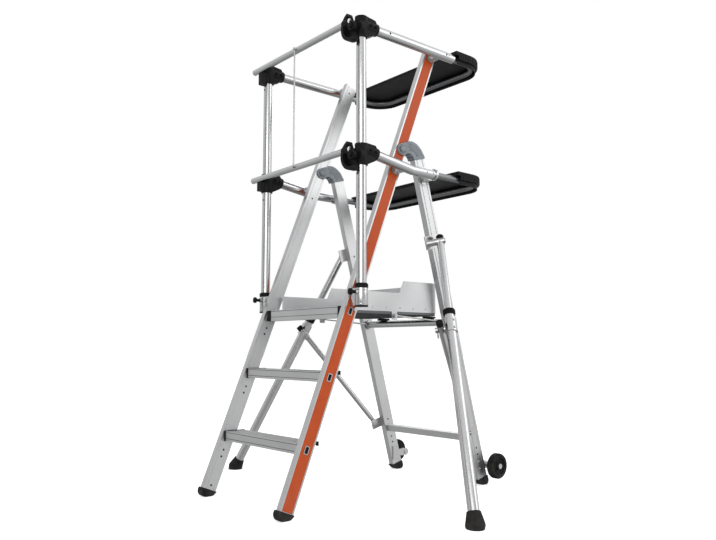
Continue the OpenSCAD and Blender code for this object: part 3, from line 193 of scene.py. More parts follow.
class Paint:  # one material with its shader and texture coordinates
    def __init__(self, name, metallic=0.0, turn=None):
        self.mat = bpy.data.materials.new(name)
        self.mat.use_nodes = True
        self.tree = self.mat.node_tree
        self.shader = self.tree.nodes["Principled BSDF"]
        self.shader.inputs["Metallic"].default_value = metallic
        self.where = self.tree.nodes.new("ShaderNodeTexCoord").outputs["Object"]
        self.turned = self.where
        if turn is not None:
            m = self.tree.nodes.new("ShaderNodeMapping")
            m.inputs["Rotation"].default_value = turn
            self.tree.links.new(self.where, m.inputs["Vector"])
            self.turned = m.outputs[0]

    def group(self, key, vector=None, **values):
        n = self.tree.nodes.new("ShaderNodeGroup")
        n.node_tree = groups[key]
        self.tree.links.new(vector or self.where, n.inputs["Vector"])
        for k, v in values.items():
            n.inputs[k].default_value = v
        return n

    def link(self, a, name):
        self.tree.links.new(a, self.shader.inputs[name])

    def mix(self, fac, a, b):
        n = self.tree.nodes.new("ShaderNodeMix")
        n.data_type = "RGBA"
        for v, i in ((fac, 0), (a, 6), (b, 7)):  # a mix node's factor and colour sockets
            if isinstance(v, (int, float)):
                n.inputs[i].default_value = v
            elif isinstance(v, tuple):
                n.inputs[i].default_value = (*v, 1.0)
            else:
                self.tree.links.new(v, n.inputs[i])
        return n.outputs[2]

    def spread(self, value, low, high):  # a noise's middle range onto low..high
        n = self.tree.nodes.new("ShaderNodeMapRange")
        for label, v in (("From Min", noiseRange[0]), ("From Max", noiseRange[1]), ("To Min", low), ("To Max", high)):
            n.inputs[label].default_value = v
        self.tree.links.new(value, n.inputs["Value"])
        return n.outputs[0]

    def tone(self, value, colour, dark, pale):
        return self.mix(self.spread(value, 0.0, 1.0), shade(colour, dark), shade(colour, pale))

    def dusted(self, mask, share, tone, dust):
        self.link(self.mix(mathNode(self.tree, "MULTIPLY", mask, share), tone, dust), "Base Color")

    def roughness(self, value, values):
        return self.spread(value, values["rough"] - values["smoother"], values["rough"] + values["coarser"])


def shade(c, k):  # a colour made darker or paler
    return tuple(v * k for v in c)


def metal(colour, rough, streak):
    return {"colour": colour, "rough": rough, "streak": streak, "dark": 0.93, "smoother": 0.04, "coarser": 0.06,
            "dust": (0.42, 0.40, 0.37), "dustShare": 0.25, "dustRough": 0.2}


aluminium = metal(colour=(0.60, 0.605, 0.61), rough=0.38, streak=0.05)
tubeMetal = metal(colour=(0.60, 0.605, 0.612), rough=0.22, streak=0.0)
sheetMetal = metal(colour=(0.66, 0.665, 0.67), rough=0.42, streak=0.05)
# darker metal for the rear loop tubes: painted shade of their place under the trays
loopShadeMetal = metal(colour=(0.27, 0.275, 0.285), rough=0.42, streak=0.04)
sheetLines = {"fine": 300.0, "stretch": 0.08}


def drawnMetal(name, values, turn=None, fine=drawnLines["fine"], stretch=drawnLines["stretch"]):
    p = Paint(name, 1.0, turn)
    g = p.group("lines", p.turned, Fine=fine, Stretch=stretch, Bump=values["streak"])
    dust = p.group("dust").outputs["Mask"]
    tone = p.tone(g.outputs["Cloud"], values["colour"], values["dark"], 1.0)
    p.dusted(dust, values["dustShare"], tone, values["dust"])
    rough = p.roughness(g.outputs["Lines"], values)
    p.link(mathNode(p.tree, "ADD", rough, mathNode(p.tree, "MULTIPLY", dust, values["dustRough"])), "Roughness")
    if values["streak"] > 0:  # round tubes keep a smooth surface
        p.link(g.outputs["Normal"], "Normal")
    return p.mat


def moulding(colour, rough, grain, shine, edge, dustShare, fine):
    return {"colour": colour, "rough": rough, "grain": grain, "shine": shine, "edge": edge, "dustShare": dustShare,
            "fine": fine, "dark": 0.8, "pale": 1.2, "edgeShare": 0.4, "smoother": 0.05, "coarser": 0.08,
            "dust": (0.20, 0.19, 0.17)}


blackPlastic = moulding(colour=(0.006, 0.006, 0.0065), rough=0.42, grain=0.05, shine=0.10,
                        edge=(0.07, 0.07, 0.07), dustShare=0.12, fine=1400.0)
blackRubber = moulding(colour=(0.007, 0.007, 0.007), rough=0.58, grain=0.12, shine=0.10,
                       edge=(0.05, 0.05, 0.05), dustShare=0.2, fine=900.0)
greyMoulding = moulding(colour=(0.150, 0.170, 0.188), rough=0.40, grain=0.06, shine=0.5,
                        edge=(0.32, 0.345, 0.37), dustShare=0.0, fine=1400.0)


def mouldedPlastic(name, values):
    p = Paint(name)
    g = p.group("grain", Fine=values["fine"], Bump=values["grain"])
    worn = mathNode(p.tree, "MULTIPLY", p.group("wear").outputs["Mask"], values["edgeShare"])
    tone = p.tone(g.outputs["Cloud"], values["colour"], values["dark"], values["pale"])
    tone = p.mix(worn, tone, values["edge"])
    p.dusted(p.group("dust").outputs["Mask"], values["dustShare"], tone, values["dust"])
    p.link(p.roughness(g.outputs["Cloud"], values), "Roughness")
    p.link(g.outputs["Normal"], "Normal")
    p.shader.inputs["Specular IOR Level"].default_value = values["shine"]
    return p.mat


orangePaint = {"colour": (0.37, 0.051, 0.006), "rough": 0.40, "smoother": 0.05, "coarser": 0.1, "fine": 420.0,
               "grain": 0.03, "dark": 0.92, "pale": 1.05, "dust": (0.45, 0.40, 0.35), "dustShare": 0.1,
               "shine": 0.22, "coat": 0.05, "coatRough": 0.25}


def stripPaint():  # coloured film with a slight orange-peel and dust
    p = Paint("orangeStrip")
    g = p.group("grain", Fine=orangePaint["fine"], Bump=orangePaint["grain"])
    tone = p.tone(g.outputs["Cloud"], orangePaint["colour"], orangePaint["dark"], orangePaint["pale"])
    p.dusted(p.group("dust").outputs["Mask"], orangePaint["dustShare"], tone, orangePaint["dust"])
    p.link(p.roughness(g.outputs["Cloud"], orangePaint), "Roughness")
    p.link(g.outputs["Normal"], "Normal")
    p.shader.inputs["Specular IOR Level"].default_value = orangePaint["shine"]
    p.shader.inputs["Coat Weight"].default_value = orangePaint["coat"]
    p.shader.inputs["Coat Roughness"].default_value = orangePaint["coatRough"]
    return p.mat


steelMetal = {"colour": (0.56, 0.56, 0.555), "rough": 0.28, "smoother": 0.06, "coarser": 0.1, "spangle": 220.0,
              "dark": 0.9, "fine": 500.0, "stretch": 0.3, "streak": 0.04}


def zincSteel():
    p = Paint("zincSteel", 1.0)
    n = p.tree.nodes.new("ShaderNodeTexVoronoi")
    n.inputs["Scale"].default_value = steelMetal["spangle"]
    p.tree.links.new(p.where, n.inputs["Vector"])
    g = p.group("lines", Fine=steelMetal["fine"], Stretch=steelMetal["stretch"], Bump=steelMetal["streak"])
    p.link(p.tone(n.outputs["Distance"], steelMetal["colour"], steelMetal["dark"], 1.0), "Base Color")
    p.link(p.roughness(g.outputs["Cloud"], steelMetal), "Roughness")
    p.link(g.outputs["Normal"], "Normal")
    return p.mat


deckMetal = {"colour": (0.16, 0.165, 0.17), "rough": 0.5, "smoother": 0.08, "coarser": 0.1, "pitch": 14 * mm,
             "dot": 3.2, "pale": 1.5, "strength": 0.6, "depth": 0.0012, "fine": 600.0, "stretch": 0.5, "streak": 0.05}


def deckPlate():  # dark plate with rows of raised dots
    p = Paint("deckPlate", 1.0)
    n = p.tree.nodes.new("ShaderNodeTexVoronoi")
    n.inputs["Scale"].default_value = 1.0 / deckMetal["pitch"]
    n.inputs["Randomness"].default_value = 0.0
    p.tree.links.new(p.where, n.inputs["Vector"])
    fall = mathNode(p.tree, "MULTIPLY", n.outputs["Distance"], deckMetal["dot"])
    dot = mathNode(p.tree, "SUBTRACT", 1.0, fall, True)
    g = p.group("lines", Fine=deckMetal["fine"], Stretch=deckMetal["stretch"], Bump=deckMetal["streak"])
    bump = p.tree.nodes.new("ShaderNodeBump")
    bump.inputs["Strength"].default_value = deckMetal["strength"]
    bump.inputs["Distance"].default_value = deckMetal["depth"]
    p.tree.links.new(dot, bump.inputs["Height"])
    p.tree.links.new(g.outputs["Normal"], bump.inputs["Normal"])
    p.link(p.mix(dot, deckMetal["colour"], shade(deckMetal["colour"], deckMetal["pale"])), "Base Color")
    p.link(p.roughness(g.outputs["Cloud"], deckMetal), "Roughness")
    p.link(bump.outputs[0], "Normal")
    return p.mat


quarter = math.radians(90)
looks = {
    "stile": drawnMetal("stileMetal", aluminium, (math.radians(places["stileLean"]), 0, 0)),
    "leg": drawnMetal("legMetal", aluminium, (-math.radians(places["legLean"]), 0, 0)),
    "tread": drawnMetal("treadMetal", aluminium, (0, quarter, 0)),
    "post": drawnMetal("postMetal", tubeMetal),
    "rail": drawnMetal("railMetal", tubeMetal, (quarter, 0, 0)),
    "bar": drawnMetal("barMetal", tubeMetal, (0, quarter, 0)),
    "sheet": drawnMetal("sheetMetal", sheetMetal, (quarter, 0, 0), **sheetLines),
    "loop": drawnMetal("loopMetal", loopShadeMetal, (quarter, 0, 0)),
    "deck": deckPlate(),
    "steel": zincSteel(),
    "black": mouldedPlastic("blackPlastic", blackPlastic),
    "rubber": mouldedPlastic("blackRubber", blackRubber),
    "orange": stripPaint(),
    "knuckle": mouldedPlastic("greyMoulding", greyMoulding),
}
print("materials made")

nodeLook = {
    "stile": ["left_stile", "right_stile"],
    "leg": ["left_rear_leg", "right_rear_leg"],
    "tread": ["lower_tread", "upper_tread", "platform_nosing", "rear_cross_bar"],
    "post": ["left_post", "right_post", "post_sockets", "left_stabiliser_tube", "right_stabiliser_tube",
             "left_stabiliser_leg", "right_stabiliser_leg", "left_stabiliser_collar", "right_stabiliser_collar",
             "left_brace", "right_brace"],
    "rail": ["left_top_rail", "right_top_rail", "left_mid_rail", "right_mid_rail"],
    "loop": ["upper_rear_loop", "lower_rear_loop"],
    "bar": ["gate_top_bar", "gate_mid_bar", "rear_cross_tube"],
    "sheet": ["toe_board"],
    "deck": ["platform_deck"],
    "steel": ["frame_pins", "rear_frame_pins", "left_lock_pin", "right_lock_pin", "spreader_rods", "gate_link_rod",
              "leg_brackets", "rail_brackets"],
    "black": ["tread_end_caps", "tenon_plugs", "post_collars", "right_top_connector", "right_mid_connector",
              "left_top_connector", "left_mid_connector", "upper_rear_tray", "lower_rear_tray", "gate_top_hub",
              "gate_mid_hub", "left_lock_knob", "right_lock_knob", "platform_pads"],
    "rubber": ["stile_shoes", "leg_shoes", "left_wheel", "right_wheel", "left_stabiliser_rubbers",
               "right_stabiliser_rubbers"],
    "orange": ["stile_strips"],
    "knuckle": ["leg_knuckles"],
}
softEdges = {"width": 1.4 * mm, "profileWidth": 0.8 * mm, "profiles": ("stile", "leg", "bar"), "weld": 0.02 * mm,
             "segments": 2, "angle": 35.0,
             "nodes": ["right_top_connector", "right_mid_connector", "left_top_connector", "left_mid_connector",
                       "upper_rear_tray", "lower_rear_tray", "gate_top_hub", "gate_mid_hub", "stile_shoes", "leg_shoes",
                       "tread_end_caps", "platform_pads", "leg_knuckles", "post_sockets", "leg_brackets",
                       "left_stile", "right_stile", "left_rear_leg", "right_rear_leg", "rear_cross_bar"]}
for key, names in nodeLook.items():
    for name in names:
        nodes[name].data.materials.clear()
        nodes[name].data.materials.append(looks[key])
for name in softEdges["nodes"]:  # rounded edges on moulded and drawn pieces
    weld = nodes[name].modifiers.new("weld", "WELD")
    weld.merge_threshold = softEdges["weld"]
    soft = nodes[name].modifiers.new("softEdge", "BEVEL")
    soft.width = softEdges["profileWidth" if name.split("_")[-1] in softEdges["profiles"] else "width"]
    soft.segments = softEdges["segments"]
    soft.limit_method = "ANGLE"
    soft.angle_limit = math.radians(softEdges["angle"])
    soft.use_clamp_overlap = True
print("frame painted")


mergeDistance, sharpAngle = 0.001 * mm, math.radians(32)


def meshFrom(name, bm):  # merged, closed outwards, smooth between its sharp edges
    bmesh.ops.remove_doubles(bm, verts=bm.verts, dist=mergeDistance)
    bmesh.ops.recalc_face_normals(bm, faces=bm.faces)
    for f in bm.faces:
        f.smooth = True
    for e in bm.edges:
        if len(e.link_faces) == 2 and e.calc_face_angle(0.0) > sharpAngle:
            e.smooth = False
    mesh = bpy.data.meshes.new(name)
    bm.to_mesh(mesh)
    bm.free()
    return mesh


def placePiece(name, mesh, body):
    obj = bpy.data.objects.new(name, mesh)
    bpy.context.collection.objects.link(obj)
    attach(obj, body)


def finishPiece(name, bm, look, body):
    mesh = meshFrom(name, bm)
    mesh.materials.append(looks[look])
    placePiece(name, mesh, body)


def axisFrame(at, along):  # z along a direction, in metres from millimetres
    z = Vector(along).normalized()
    x = z.orthogonal().normalized()
    m = Matrix((x, z.cross(x), z)).transposed().to_4x4()
    m.translation = Vector(at) * mm
    return m


onAxis = 1e-6  # a lathe's point nearer than this is its pole


def turned(bm, profile, at, along, steps=36):  # closed lathe of (radius, height) points in millimetres
    m = axisFrame(at, along)
    rings = []
    for r, h in profile:
        if r < onAxis:
            rings.append([bm.verts.new(m @ Vector((0, 0, h * mm)))])
        else:
            rings.append([bm.verts.new(m @ Vector((r * mm * math.cos(2 * math.pi * i / steps),
                                                   r * mm * math.sin(2 * math.pi * i / steps), h * mm)))
                          for i in range(steps)])
    closed = profile[0][0] > onAxis
    pairs = list(zip(rings, rings[1:])) + ([(rings[-1], rings[0])] if closed else [])
    for a, b in pairs:
        for i in range(steps):
            k = (i + 1) % steps
            if len(a) == 1:
                bm.faces.new((a[0], b[i], b[k]))
            elif len(b) == 1:
                bm.faces.new((a[i], a[k], b[0]))
            else:
                bm.faces.new((a[i], a[k], b[k], b[i]))


def roundBox(bm, size, at, turn, soft):  # box with eased edges, sizes in millimetres
    part = bmesh.new()
    bmesh.ops.create_cube(part, size=1.0)
    bmesh.ops.scale(part, vec=Vector(size) * mm, verts=part.verts)
    bmesh.ops.bevel(part, geom=part.edges[:], offset=soft * mm, segments=1, affect="EDGES")
    m = turn.to_4x4() if turn is not None else Matrix.Identity(4)
    m.translation = Vector(at) * mm
    bmesh.ops.transform(part, matrix=m, verts=part.verts)
    mesh = bpy.data.meshes.new("tmp")
    part.to_mesh(mesh)
    part.free()
    bm.from_mesh(mesh)
    bpy.data.meshes.remove(mesh)


rowLabels = ("aim", "lay")  # each point's outward direction and the head's own x


def rowTree():  # one head set on every point, turned to the point's own aim
    tree = bpy.data.node_groups.new("fastenerRow", "GeometryNodeTree")
    for label, kind in (("Geometry", "Geometry"), ("Head", "Object"), ("Size", "Float"), ("Spin", "Float"),
                        ("Seed", "Int"), ("Finish", "Material")):
        tree.interface.new_socket(label, in_out="INPUT", socket_type="NodeSocket" + kind)
    tree.interface.new_socket("Geometry", in_out="OUTPUT", socket_type="NodeSocketGeometry")
    gin, gout = tree.nodes.new("NodeGroupInput"), tree.nodes.new("NodeGroupOutput")

    def named(label):
        n = tree.nodes.new("GeometryNodeInputNamedAttribute")
        n.data_type = "FLOAT_VECTOR"
        n.inputs["Name"].default_value = label
        return n.outputs["Attribute"]

    def aligned(axis, vector, start=None):
        n = tree.nodes.new("FunctionNodeAlignRotationToVector")
        n.axis = axis
        if start is not None:
            n.pivot_axis = "Z"
            tree.links.new(start, n.inputs["Rotation"])
        tree.links.new(vector, n.inputs["Vector"])
        return n.outputs[0]
    rot = aligned("X", named("lay"), aligned("Z", named("aim")))
    head = tree.nodes.new("GeometryNodeObjectInfo")
    tree.links.new(gin.outputs["Head"], head.inputs["Object"])
    inst = tree.nodes.new("GeometryNodeInstanceOnPoints")
    tree.links.new(gin.outputs["Geometry"], inst.inputs["Points"])
    tree.links.new(head.outputs["Geometry"], inst.inputs["Instance"])
    tree.links.new(rot, inst.inputs["Rotation"])
    tree.links.new(gin.outputs["Size"], inst.inputs["Scale"])
    rand = tree.nodes.new("FunctionNodeRandomValue")
    rand.data_type = "FLOAT"
    fmin, fmax = [s for s in rand.inputs if s.name in ("Min", "Max") and s.type == "VALUE"][:2]
    fmin.default_value = 0.0
    tree.links.new(gin.outputs["Spin"], fmax)
    tree.links.new(gin.outputs["Seed"], rand.inputs["Seed"])
    spin = tree.nodes.new("ShaderNodeCombineXYZ")
    tree.links.new(next(s for s in rand.outputs if s.type == "VALUE" and s.enabled), spin.inputs[2])
    turn = tree.nodes.new("GeometryNodeRotateInstances")
    tree.links.new(inst.outputs[0], turn.inputs["Instances"])
    tree.links.new(spin.outputs[0], turn.inputs["Rotation"])
    real = tree.nodes.new("GeometryNodeRealizeInstances")
    tree.links.new(turn.outputs[0], real.inputs[0])
    paint = tree.nodes.new("GeometryNodeSetMaterial")
    tree.links.new(real.outputs[0], paint.inputs["Geometry"])
    tree.links.new(gin.outputs["Finish"], paint.inputs["Material"])
    tree.links.new(paint.outputs[0], gout.inputs[0])
    return tree


rowNodes = rowTree()
up = (0, 0, 1)
looseTurn = 1.0  # screws and rivets are turned at random, up to a radian
boltHead = {"washer": ((0, -1), (7, -1), (7, 1.2), (6.6, 1.6), (0, 1.6)), "steps": 20,
            "hexagon": ((0, 1.4), (5.2, 1.4), (5.2, 4.6), (4.4, 5.2), (0, 5.2)), "corners": 6}


def headShape(name, build):
    bm = bmesh.new()
    build(bm)
    return bpy.data.objects.new(name, meshFrom(name, bm))


def latheHead(name, steps, *profile):
    return headShape(name, lambda bm: turned(bm, profile, (0, 0, 0), up, steps))


def boxHead(name, size, soft, lift=0.0):
    return headShape(name, lambda bm: roundBox(bm, size, (0, 0, lift), None, soft))


def boltShape(bm):
    turned(bm, boltHead["washer"], (0, 0, 0), up, boltHead["steps"])
    turned(bm, boltHead["hexagon"], (0, 0, 0), up, boltHead["corners"])


heads = {  # patterns of what repeats, in millimetres
    "bolt": headShape("boltHead", boltShape),
    "rivet": latheHead("rivetHead", 16, (0, -1), (4.6, -1), (4.6, 0.3), (3.9, 1.2), (2.4, 1.9), (1.2, 1.5), (0, 1.4)),
    # a flat black disc with a lip: painted shade of an open hole
    "hole": latheHead("holeRing", 18, (0, -0.6), (4.4, -0.6), (4.4, 0.25), (3.6, 0.4), (3.4, 0.1), (0, 0.05)),
    "cap": latheHead("pinCap", 20, (0, -1), (7.2, -1), (7.2, 2.6), (6.4, 3.6), (3.0, 4.2), (0, 4.2)),
    "rib": boxHead("trayRib", (26, 3.2, 2.4), 0.6, 0.2),
    "tread": boxHead("tyreRib", (22, 4.0, 2.0), 0.5),
    "dot": latheHead("gripDot", 10, (0, -0.4), (4.2, -0.4), (3.4, 0.8), (1.8, 1.3), (0, 1.4)),
    "fan": boxHead("knuckleFan", (30.0, 3.6, 3.2), 0.7),
    "fold": boxHead("knuckleRib", (36.4, 3.4, 3.0), 0.8),
}


def setRow(name, head, points, look, body, size=1.0, spin=0.0, seed=7):  # points: place, aim and maybe lay
    mesh = bpy.data.meshes.new(name + "Points")
    mesh.from_pydata([Vector(p[0]) * mm for p in points], [], [])
    for label in rowLabels:
        mesh.attributes.new(label, "FLOAT_VECTOR", "POINT")
    aims, lays = (mesh.attributes[label].data for label in rowLabels)  # fetched once both exist
    for i, p in enumerate(points):
        aims[i].vector = p[1]
        lays[i].vector = p[2] if len(p) > 2 else Vector(p[1]).orthogonal()
    work = bpy.data.objects.new(name + "Work", mesh)
    bpy.context.collection.objects.link(work)
    mod = work.modifiers.new("row", "NODES")
    mod.node_group = rowNodes
    given = {"Head": heads[head], "Size": size, "Spin": spin, "Seed": seed, "Finish": looks[look]}
    for item in rowNodes.interface.items_tree:
        if item.in_out == "INPUT" and item.name in given:
            mod[item.identifier] = given[item.name]
    bpy.context.view_layer.update()
    graph = bpy.context.evaluated_depsgraph_get()
    flat = bpy.data.meshes.new_from_object(work.evaluated_get(graph))
    for label in rowLabels:
        if label in flat.attributes:
            flat.attributes.remove(flat.attributes[label])
    if not flat.materials:
        flat.materials.append(looks[look])
    bpy.data.objects.remove(work)
    bpy.data.meshes.remove(mesh)
    placePiece(name, flat, body)


sides = ((-1, "left"), (1, "right"))
# black discs on the stiles: painted shade of the open holes
stileHoles = {"heights": (40, 166, 142, 402, 378, 632, 608, 1195, 1712), "size": 0.9}
rows = [((s * places["stileIn"], stileMid(z), z), (-s, 0, 0)) for s, side in sides for z in stileHoles["heights"]]
setRow("stileHoles", "hole", rows, "black", "front_frame", stileHoles["size"])

legScrews = {"bolts": (92.9, 64.6), "boltBack": 4, "boltSize": 0.75,
             "holes": (149.8, 124.5, 228.8, 960), "holeBack": 2, "holeSize": 0.9}


def legRow(heights, back):  # on both faces of both legs
    faces = ((places["halfWidth"], 1), (places["legIn"], -1))
    return [((s * x, legMid(z) - back, z), (s * face, 0, 0)) for s, side in sides for z in heights for x, face in faces]


# the leg holes are black discs, painted shade of the open holes
rows, dark = legRow(legScrews["bolts"], legScrews["boltBack"]), legRow(legScrews["holes"], legScrews["holeBack"])
setRow("legBolts", "bolt", rows, "steel", "rear_frame", legScrews["boltSize"], looseTurn, seed=3)
setRow("legHoles", "hole", dark, "black", "rear_frame", legScrews["holeSize"])

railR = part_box("right_top_rail")[1][0] / mm - places["postX"]
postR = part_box("right_post")[1][0] / mm - places["postX"]
railButtons = {"topHoles": (128, 436), "topButton": 450, "mid": (318, 352), "post": (76, 92), "size": 0.8,
               "holeSize": 0.95}


def onRail(s, y, z):  # on a rail's outer side
    out = Vector((s, 0, 0))
    return Vector((s * places["postX"], places["postY"] + y, z)) + out * railR, out


# the rail and post holes are black discs, painted shade of the open holes
rows, dark = [], []
for s, side in sides:
    dark += [onRail(s, y, places["topZ"]) for y in railButtons["topHoles"]]
    rows.append(onRail(s, railButtons["topButton"], places["topZ"]))
    rows += [onRail(s, y, places["midZ"]) for y in railButtons["mid"]]
    for z, top in zip(railButtons["post"], (places["topZ"], places["midPostZ"])):
        dark.append(((s * places["postX"], places["postY"] - postR, top - z), (0, -1, 0)))
setRow("railButtons", "rivet", rows, "steel", "front_frame", railButtons["size"], looseTurn, seed=5)
setRow("railHoles", "hole", dark, "black", "front_frame", railButtons["holeSize"])

pinCaps = {"first": 30, "step": 24, "face": 26.0, "slope": 8.5, "size": 0.9}
slope = math.radians(pinCaps["slope"])
rows = []
for s, side in sides:
    for along in (pinCaps["first"], pinCaps["first"] + pinCaps["step"]):
        for face in (-1, 1):
            x = s * places["postX"] + face * pinCaps["face"]
            rows.append(((x, places["postY"] + along, places["topZ"]), (face, 0, 0)))
            at = (x, places["postY"] + along * math.cos(slope), places["midPostZ"] - along * math.sin(slope))
            rows.append((at, (face, 0, 0)))
setRow("connectorCaps", "cap", rows, "black", "front_frame", pinCaps["size"])
pivotCaps = {"out": 275.4, "in": 233.6, "size": 1.75}
rows = []
for s, side in sides:
    for x, face in ((pivotCaps["out"], 1), (pivotCaps["in"], -1)):
        rows.append(((s * x, stileMid(places["pivotZ"]), places["pivotZ"]), (s * face, 0, 0)))
setRow("pivotCaps", "cap", rows, "knuckle", "front_frame", pivotCaps["size"])
gateCaps = {"x": 309.0, "y": -286.0, "z": (1712.0, 1235.4), "size": 1.45}
rows = [((gateCaps["x"], gateCaps["y"], z), (0, -1, 0)) for z in gateCaps["z"]]
setRow("gatePinCaps", "cap", rows, "black", "front_frame", gateCaps["size"])
gateSleeve = {"wall": 2.4, "inset": 3.0, "core": 18.0, "fit": 0.15, "ease": 0.8, "steps": 40}
for level, body in (("top", "top_gate"), ("mid", "mid_gate")):  # black sleeve round the bar inside its hub
    barLo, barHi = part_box("gate_" + level + "_bar")
    r, z = (barHi[2] - barLo[2]) / 2 / mm, (barHi[2] + barLo[2]) / 2 / mm
    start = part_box("gate_" + level + "_hub")[0][0] / mm + gateSleeve["inset"]
    long = gateCaps["x"] - gateSleeve["core"] - start
    inner, outer, ease = r + gateSleeve["fit"], r + gateSleeve["wall"], gateSleeve["ease"]
    bm = bmesh.new()
    turned(bm, [(inner, 0), (outer, ease), (outer, long - ease), (inner, long)],
           (start, places["gateY"], z), (1, 0, 0), gateSleeve["steps"])
    finishPiece(level + "GateSleeve", bm, "black", body)
print("fasteners set")

trayRibs = {"pitch": 13.0, "flare": 6.0, "side": 329.5, "rear": 442.5, "corner": 105.0, "front": 258.0, "lead": 12.0,
            "rise": 12.0, "middle": 4.0}


def trayRing():  # places and outward aims along half of a tray's outline
    side, rear = trayRibs["side"] + trayRibs["flare"], trayRibs["rear"] + trayRibs["flare"]
    corner, pitch = trayRibs["corner"] + trayRibs["flare"], trayRibs["pitch"]
    out = []
    y = trayRibs["front"] + trayRibs["lead"]
    while y < rear - corner:
        out.append(((side, y), (1, 0)))
        y += pitch
    n = int(corner * math.pi / 2 / pitch)
    for i in range(n + 1):
        a = math.pi / 2 * i / n
        aim = (math.cos(a), math.sin(a))
        out.append(((side - corner + corner * aim[0], rear - corner + corner * aim[1]), aim))
    x = side - corner - pitch
    while x > trayRibs["middle"]:
        out.append(((x, rear), (0, 1)))
        x -= pitch
    return out


for level, z in (("upper", places["topZ"]), ("lower", places["midZ"])):
    rows = []
    for s, side in sides:
        for (x, y), (ax, ay) in trayRing():
            rows.append(((s * x, y, z + trayRibs["rise"]), (s * ax, ay, 0), up))
    setRow(level + "TrayRibs", "rib", rows, "black", "front_frame")
print("trays ribbed")

# elbow of the knuckle, measured from its pin; angles in degrees up from the rear
knuckle = {"bendY": 53.0, "bendZ": -27.0, "bendR": 66.2, "heel": 36.0, "from": 18.0, "to": 100.0, "count": 12,
           "inset": 11.5, "half": 17.8, "fanR": 44.0, "fanFrom": 24.0, "fanTo": 106.0, "fanCount": 10,
           "ring": ((17.5, -0.5), (19.9, -0.5), (19.3, 1.4), (18.1, 1.4)), "ringSteps": 40}


def sweep(start, end, count):  # even angles
    return [start + (end - start) * i / (count - 1) for i in range(count)]


def sideAim(degrees):
    return Vector((0, math.cos(math.radians(degrees)), math.sin(math.radians(degrees))))


rows, fanRows = [], []
bm = bmesh.new()
hinge = Vector((0, stileMid(places["pivotZ"]), places["pivotZ"]))
for s, side in sides:
    pin = hinge + Vector((s * (places["halfWidth"] - knuckle["inset"]), 0, 0))
    bend = pin + Vector((0, knuckle["bendY"], knuckle["bendZ"]))
    for a in sweep(knuckle["from"], knuckle["to"], knuckle["count"]):  # ribs over the elbow's back
        reach = knuckle["bendR"] / math.cos(math.radians(max(0.0, knuckle["heel"] - a)))
        rows.append((bend + sideAim(a) * reach, sideAim(max(a, knuckle["heel"])), (1, 0, 0)))
    for face in (1, -1):
        out = Vector((face * knuckle["half"], 0, 0))
        for a in sweep(knuckle["fanFrom"], knuckle["fanTo"], knuckle["fanCount"]):  # ribs on its cheeks
            fanRows.append((bend + out + sideAim(a) * knuckle["fanR"], (face, 0, 0), sideAim(a)))
        turned(bm, knuckle["ring"], pin + out, (face, 0, 0), knuckle["ringSteps"])
setRow("knuckleRibs", "fold", rows, "knuckle", "rear_frame")
setRow("knuckleFans", "fan", fanRows, "knuckle", "rear_frame")
finishPiece("knuckleRings", bm, "knuckle", "rear_frame")
print("knuckles ribbed")

wheel = {"x": 286.0, "y": 498.0, "z": 74.0, "r": 50.0, "width": 28.0, "ribs": 44, "ribSink": 0.6, "face": 22.5,
         "rim": ((24, 0), (24, 3.4), (26, 4.2), (28, 3.4), (28, 0)), "rimSteps": 44,
         "spokes": 6, "spoke": (4.4, 10.5, 5.0), "spokeAt": 20.5, "spokeOut": 1.6, "spokeSoft": 0.8}
for s, side in sides:
    hub = Vector((s * (wheel["x"] + wheel["width"] / 2), wheel["y"], wheel["z"]))
    rows = []
    for i in range(wheel["ribs"]):
        aim = sideAim(360 * i / wheel["ribs"])
        rows.append((hub + aim * (wheel["r"] - wheel["ribSink"]), aim, (1, 0, 0)))
    setRow(side + "TyreRibs", "tread", rows, "rubber", side + "_wheel_body")
    bm = bmesh.new()
    face = Vector((s * (wheel["x"] + wheel["face"]), wheel["y"], wheel["z"]))
    turned(bm, wheel["rim"], face, (s, 0, 0), wheel["rimSteps"])
    for i in range(wheel["spokes"]):
        a = 2 * math.pi * i / wheel["spokes"]
        at = face + sideAim(math.degrees(a)) * wheel["spokeAt"] + Vector((s * wheel["spokeOut"], 0, 0))
        roundBox(bm, wheel["spoke"], at, Matrix.Rotation(a, 3, "X"), wheel["spokeSoft"])
    finishPiece(side + "WheelSpokes", bm, "black", side + "_wheel_body")
print("wheels dressed")

# stabiliser lines as in the solids; the profiles are radii past the tube and lengths along it
stab = {"top": (305.0, 174.57, 967.0), "foot": (722.0, -124.0, 0.0), "lugAt": 388.0, "gap": 36.0, "low": 770.0,
        "side": 14.0, "past": 32.0, "braceR": 11.0, "tubeR": 14.0, "lowerR": 19.0,
        "tip": ((0.1, -1), (0.1, -15), (1.9, -14), (1.9, 3), (0.6, 5.5)), "tipEnds": (-1, 6),
        "cap": ((-8, -29.5), (-2, -27), (0.8, -23), (0.8, -14), (-3, -9)), "capEnds": (-30, -9),
        "ring": ((2.2, 0), (4.2, 0.8), (4.2, 2.6), (2.2, 3.4)), "rings": (316.0, 321.5, 327.0),
        "clampBolts": (364.0, 394.0), "clampOut": 23.0, "clampTurn": (0.8, 0.6), "clampSize": 0.8}
stabTop, stabFoot = Vector(stab["top"]), Vector(stab["foot"])
stabDir = (stabFoot - stabTop).normalized()
legLean = math.radians(places["legLean"])
legDown = Vector((0, math.sin(legLean), -math.cos(legLean)))
foldAxis = stabDir.cross(legDown).normalized()
foldSide = -foldAxis.cross(legDown)
bracePivot = stabTop + stab["low"] * legDown + stab["side"] * foldSide - stab["gap"] * foldAxis
braceCross = stabTop + stab["lugAt"] * stabDir - stab["gap"] * foldAxis
braceDir = (braceCross - bracePivot).normalized()
braceLen = (braceCross - bracePivot).length + stab["past"]


def flip(v, s):
    return Vector((s * v[0], v[1], v[2]))


def swollen(r, profile, ends=None):
    points = [(r + more, h) for more, h in profile]
    return [(0, ends[0])] + points + [(0, ends[1])] if ends else points


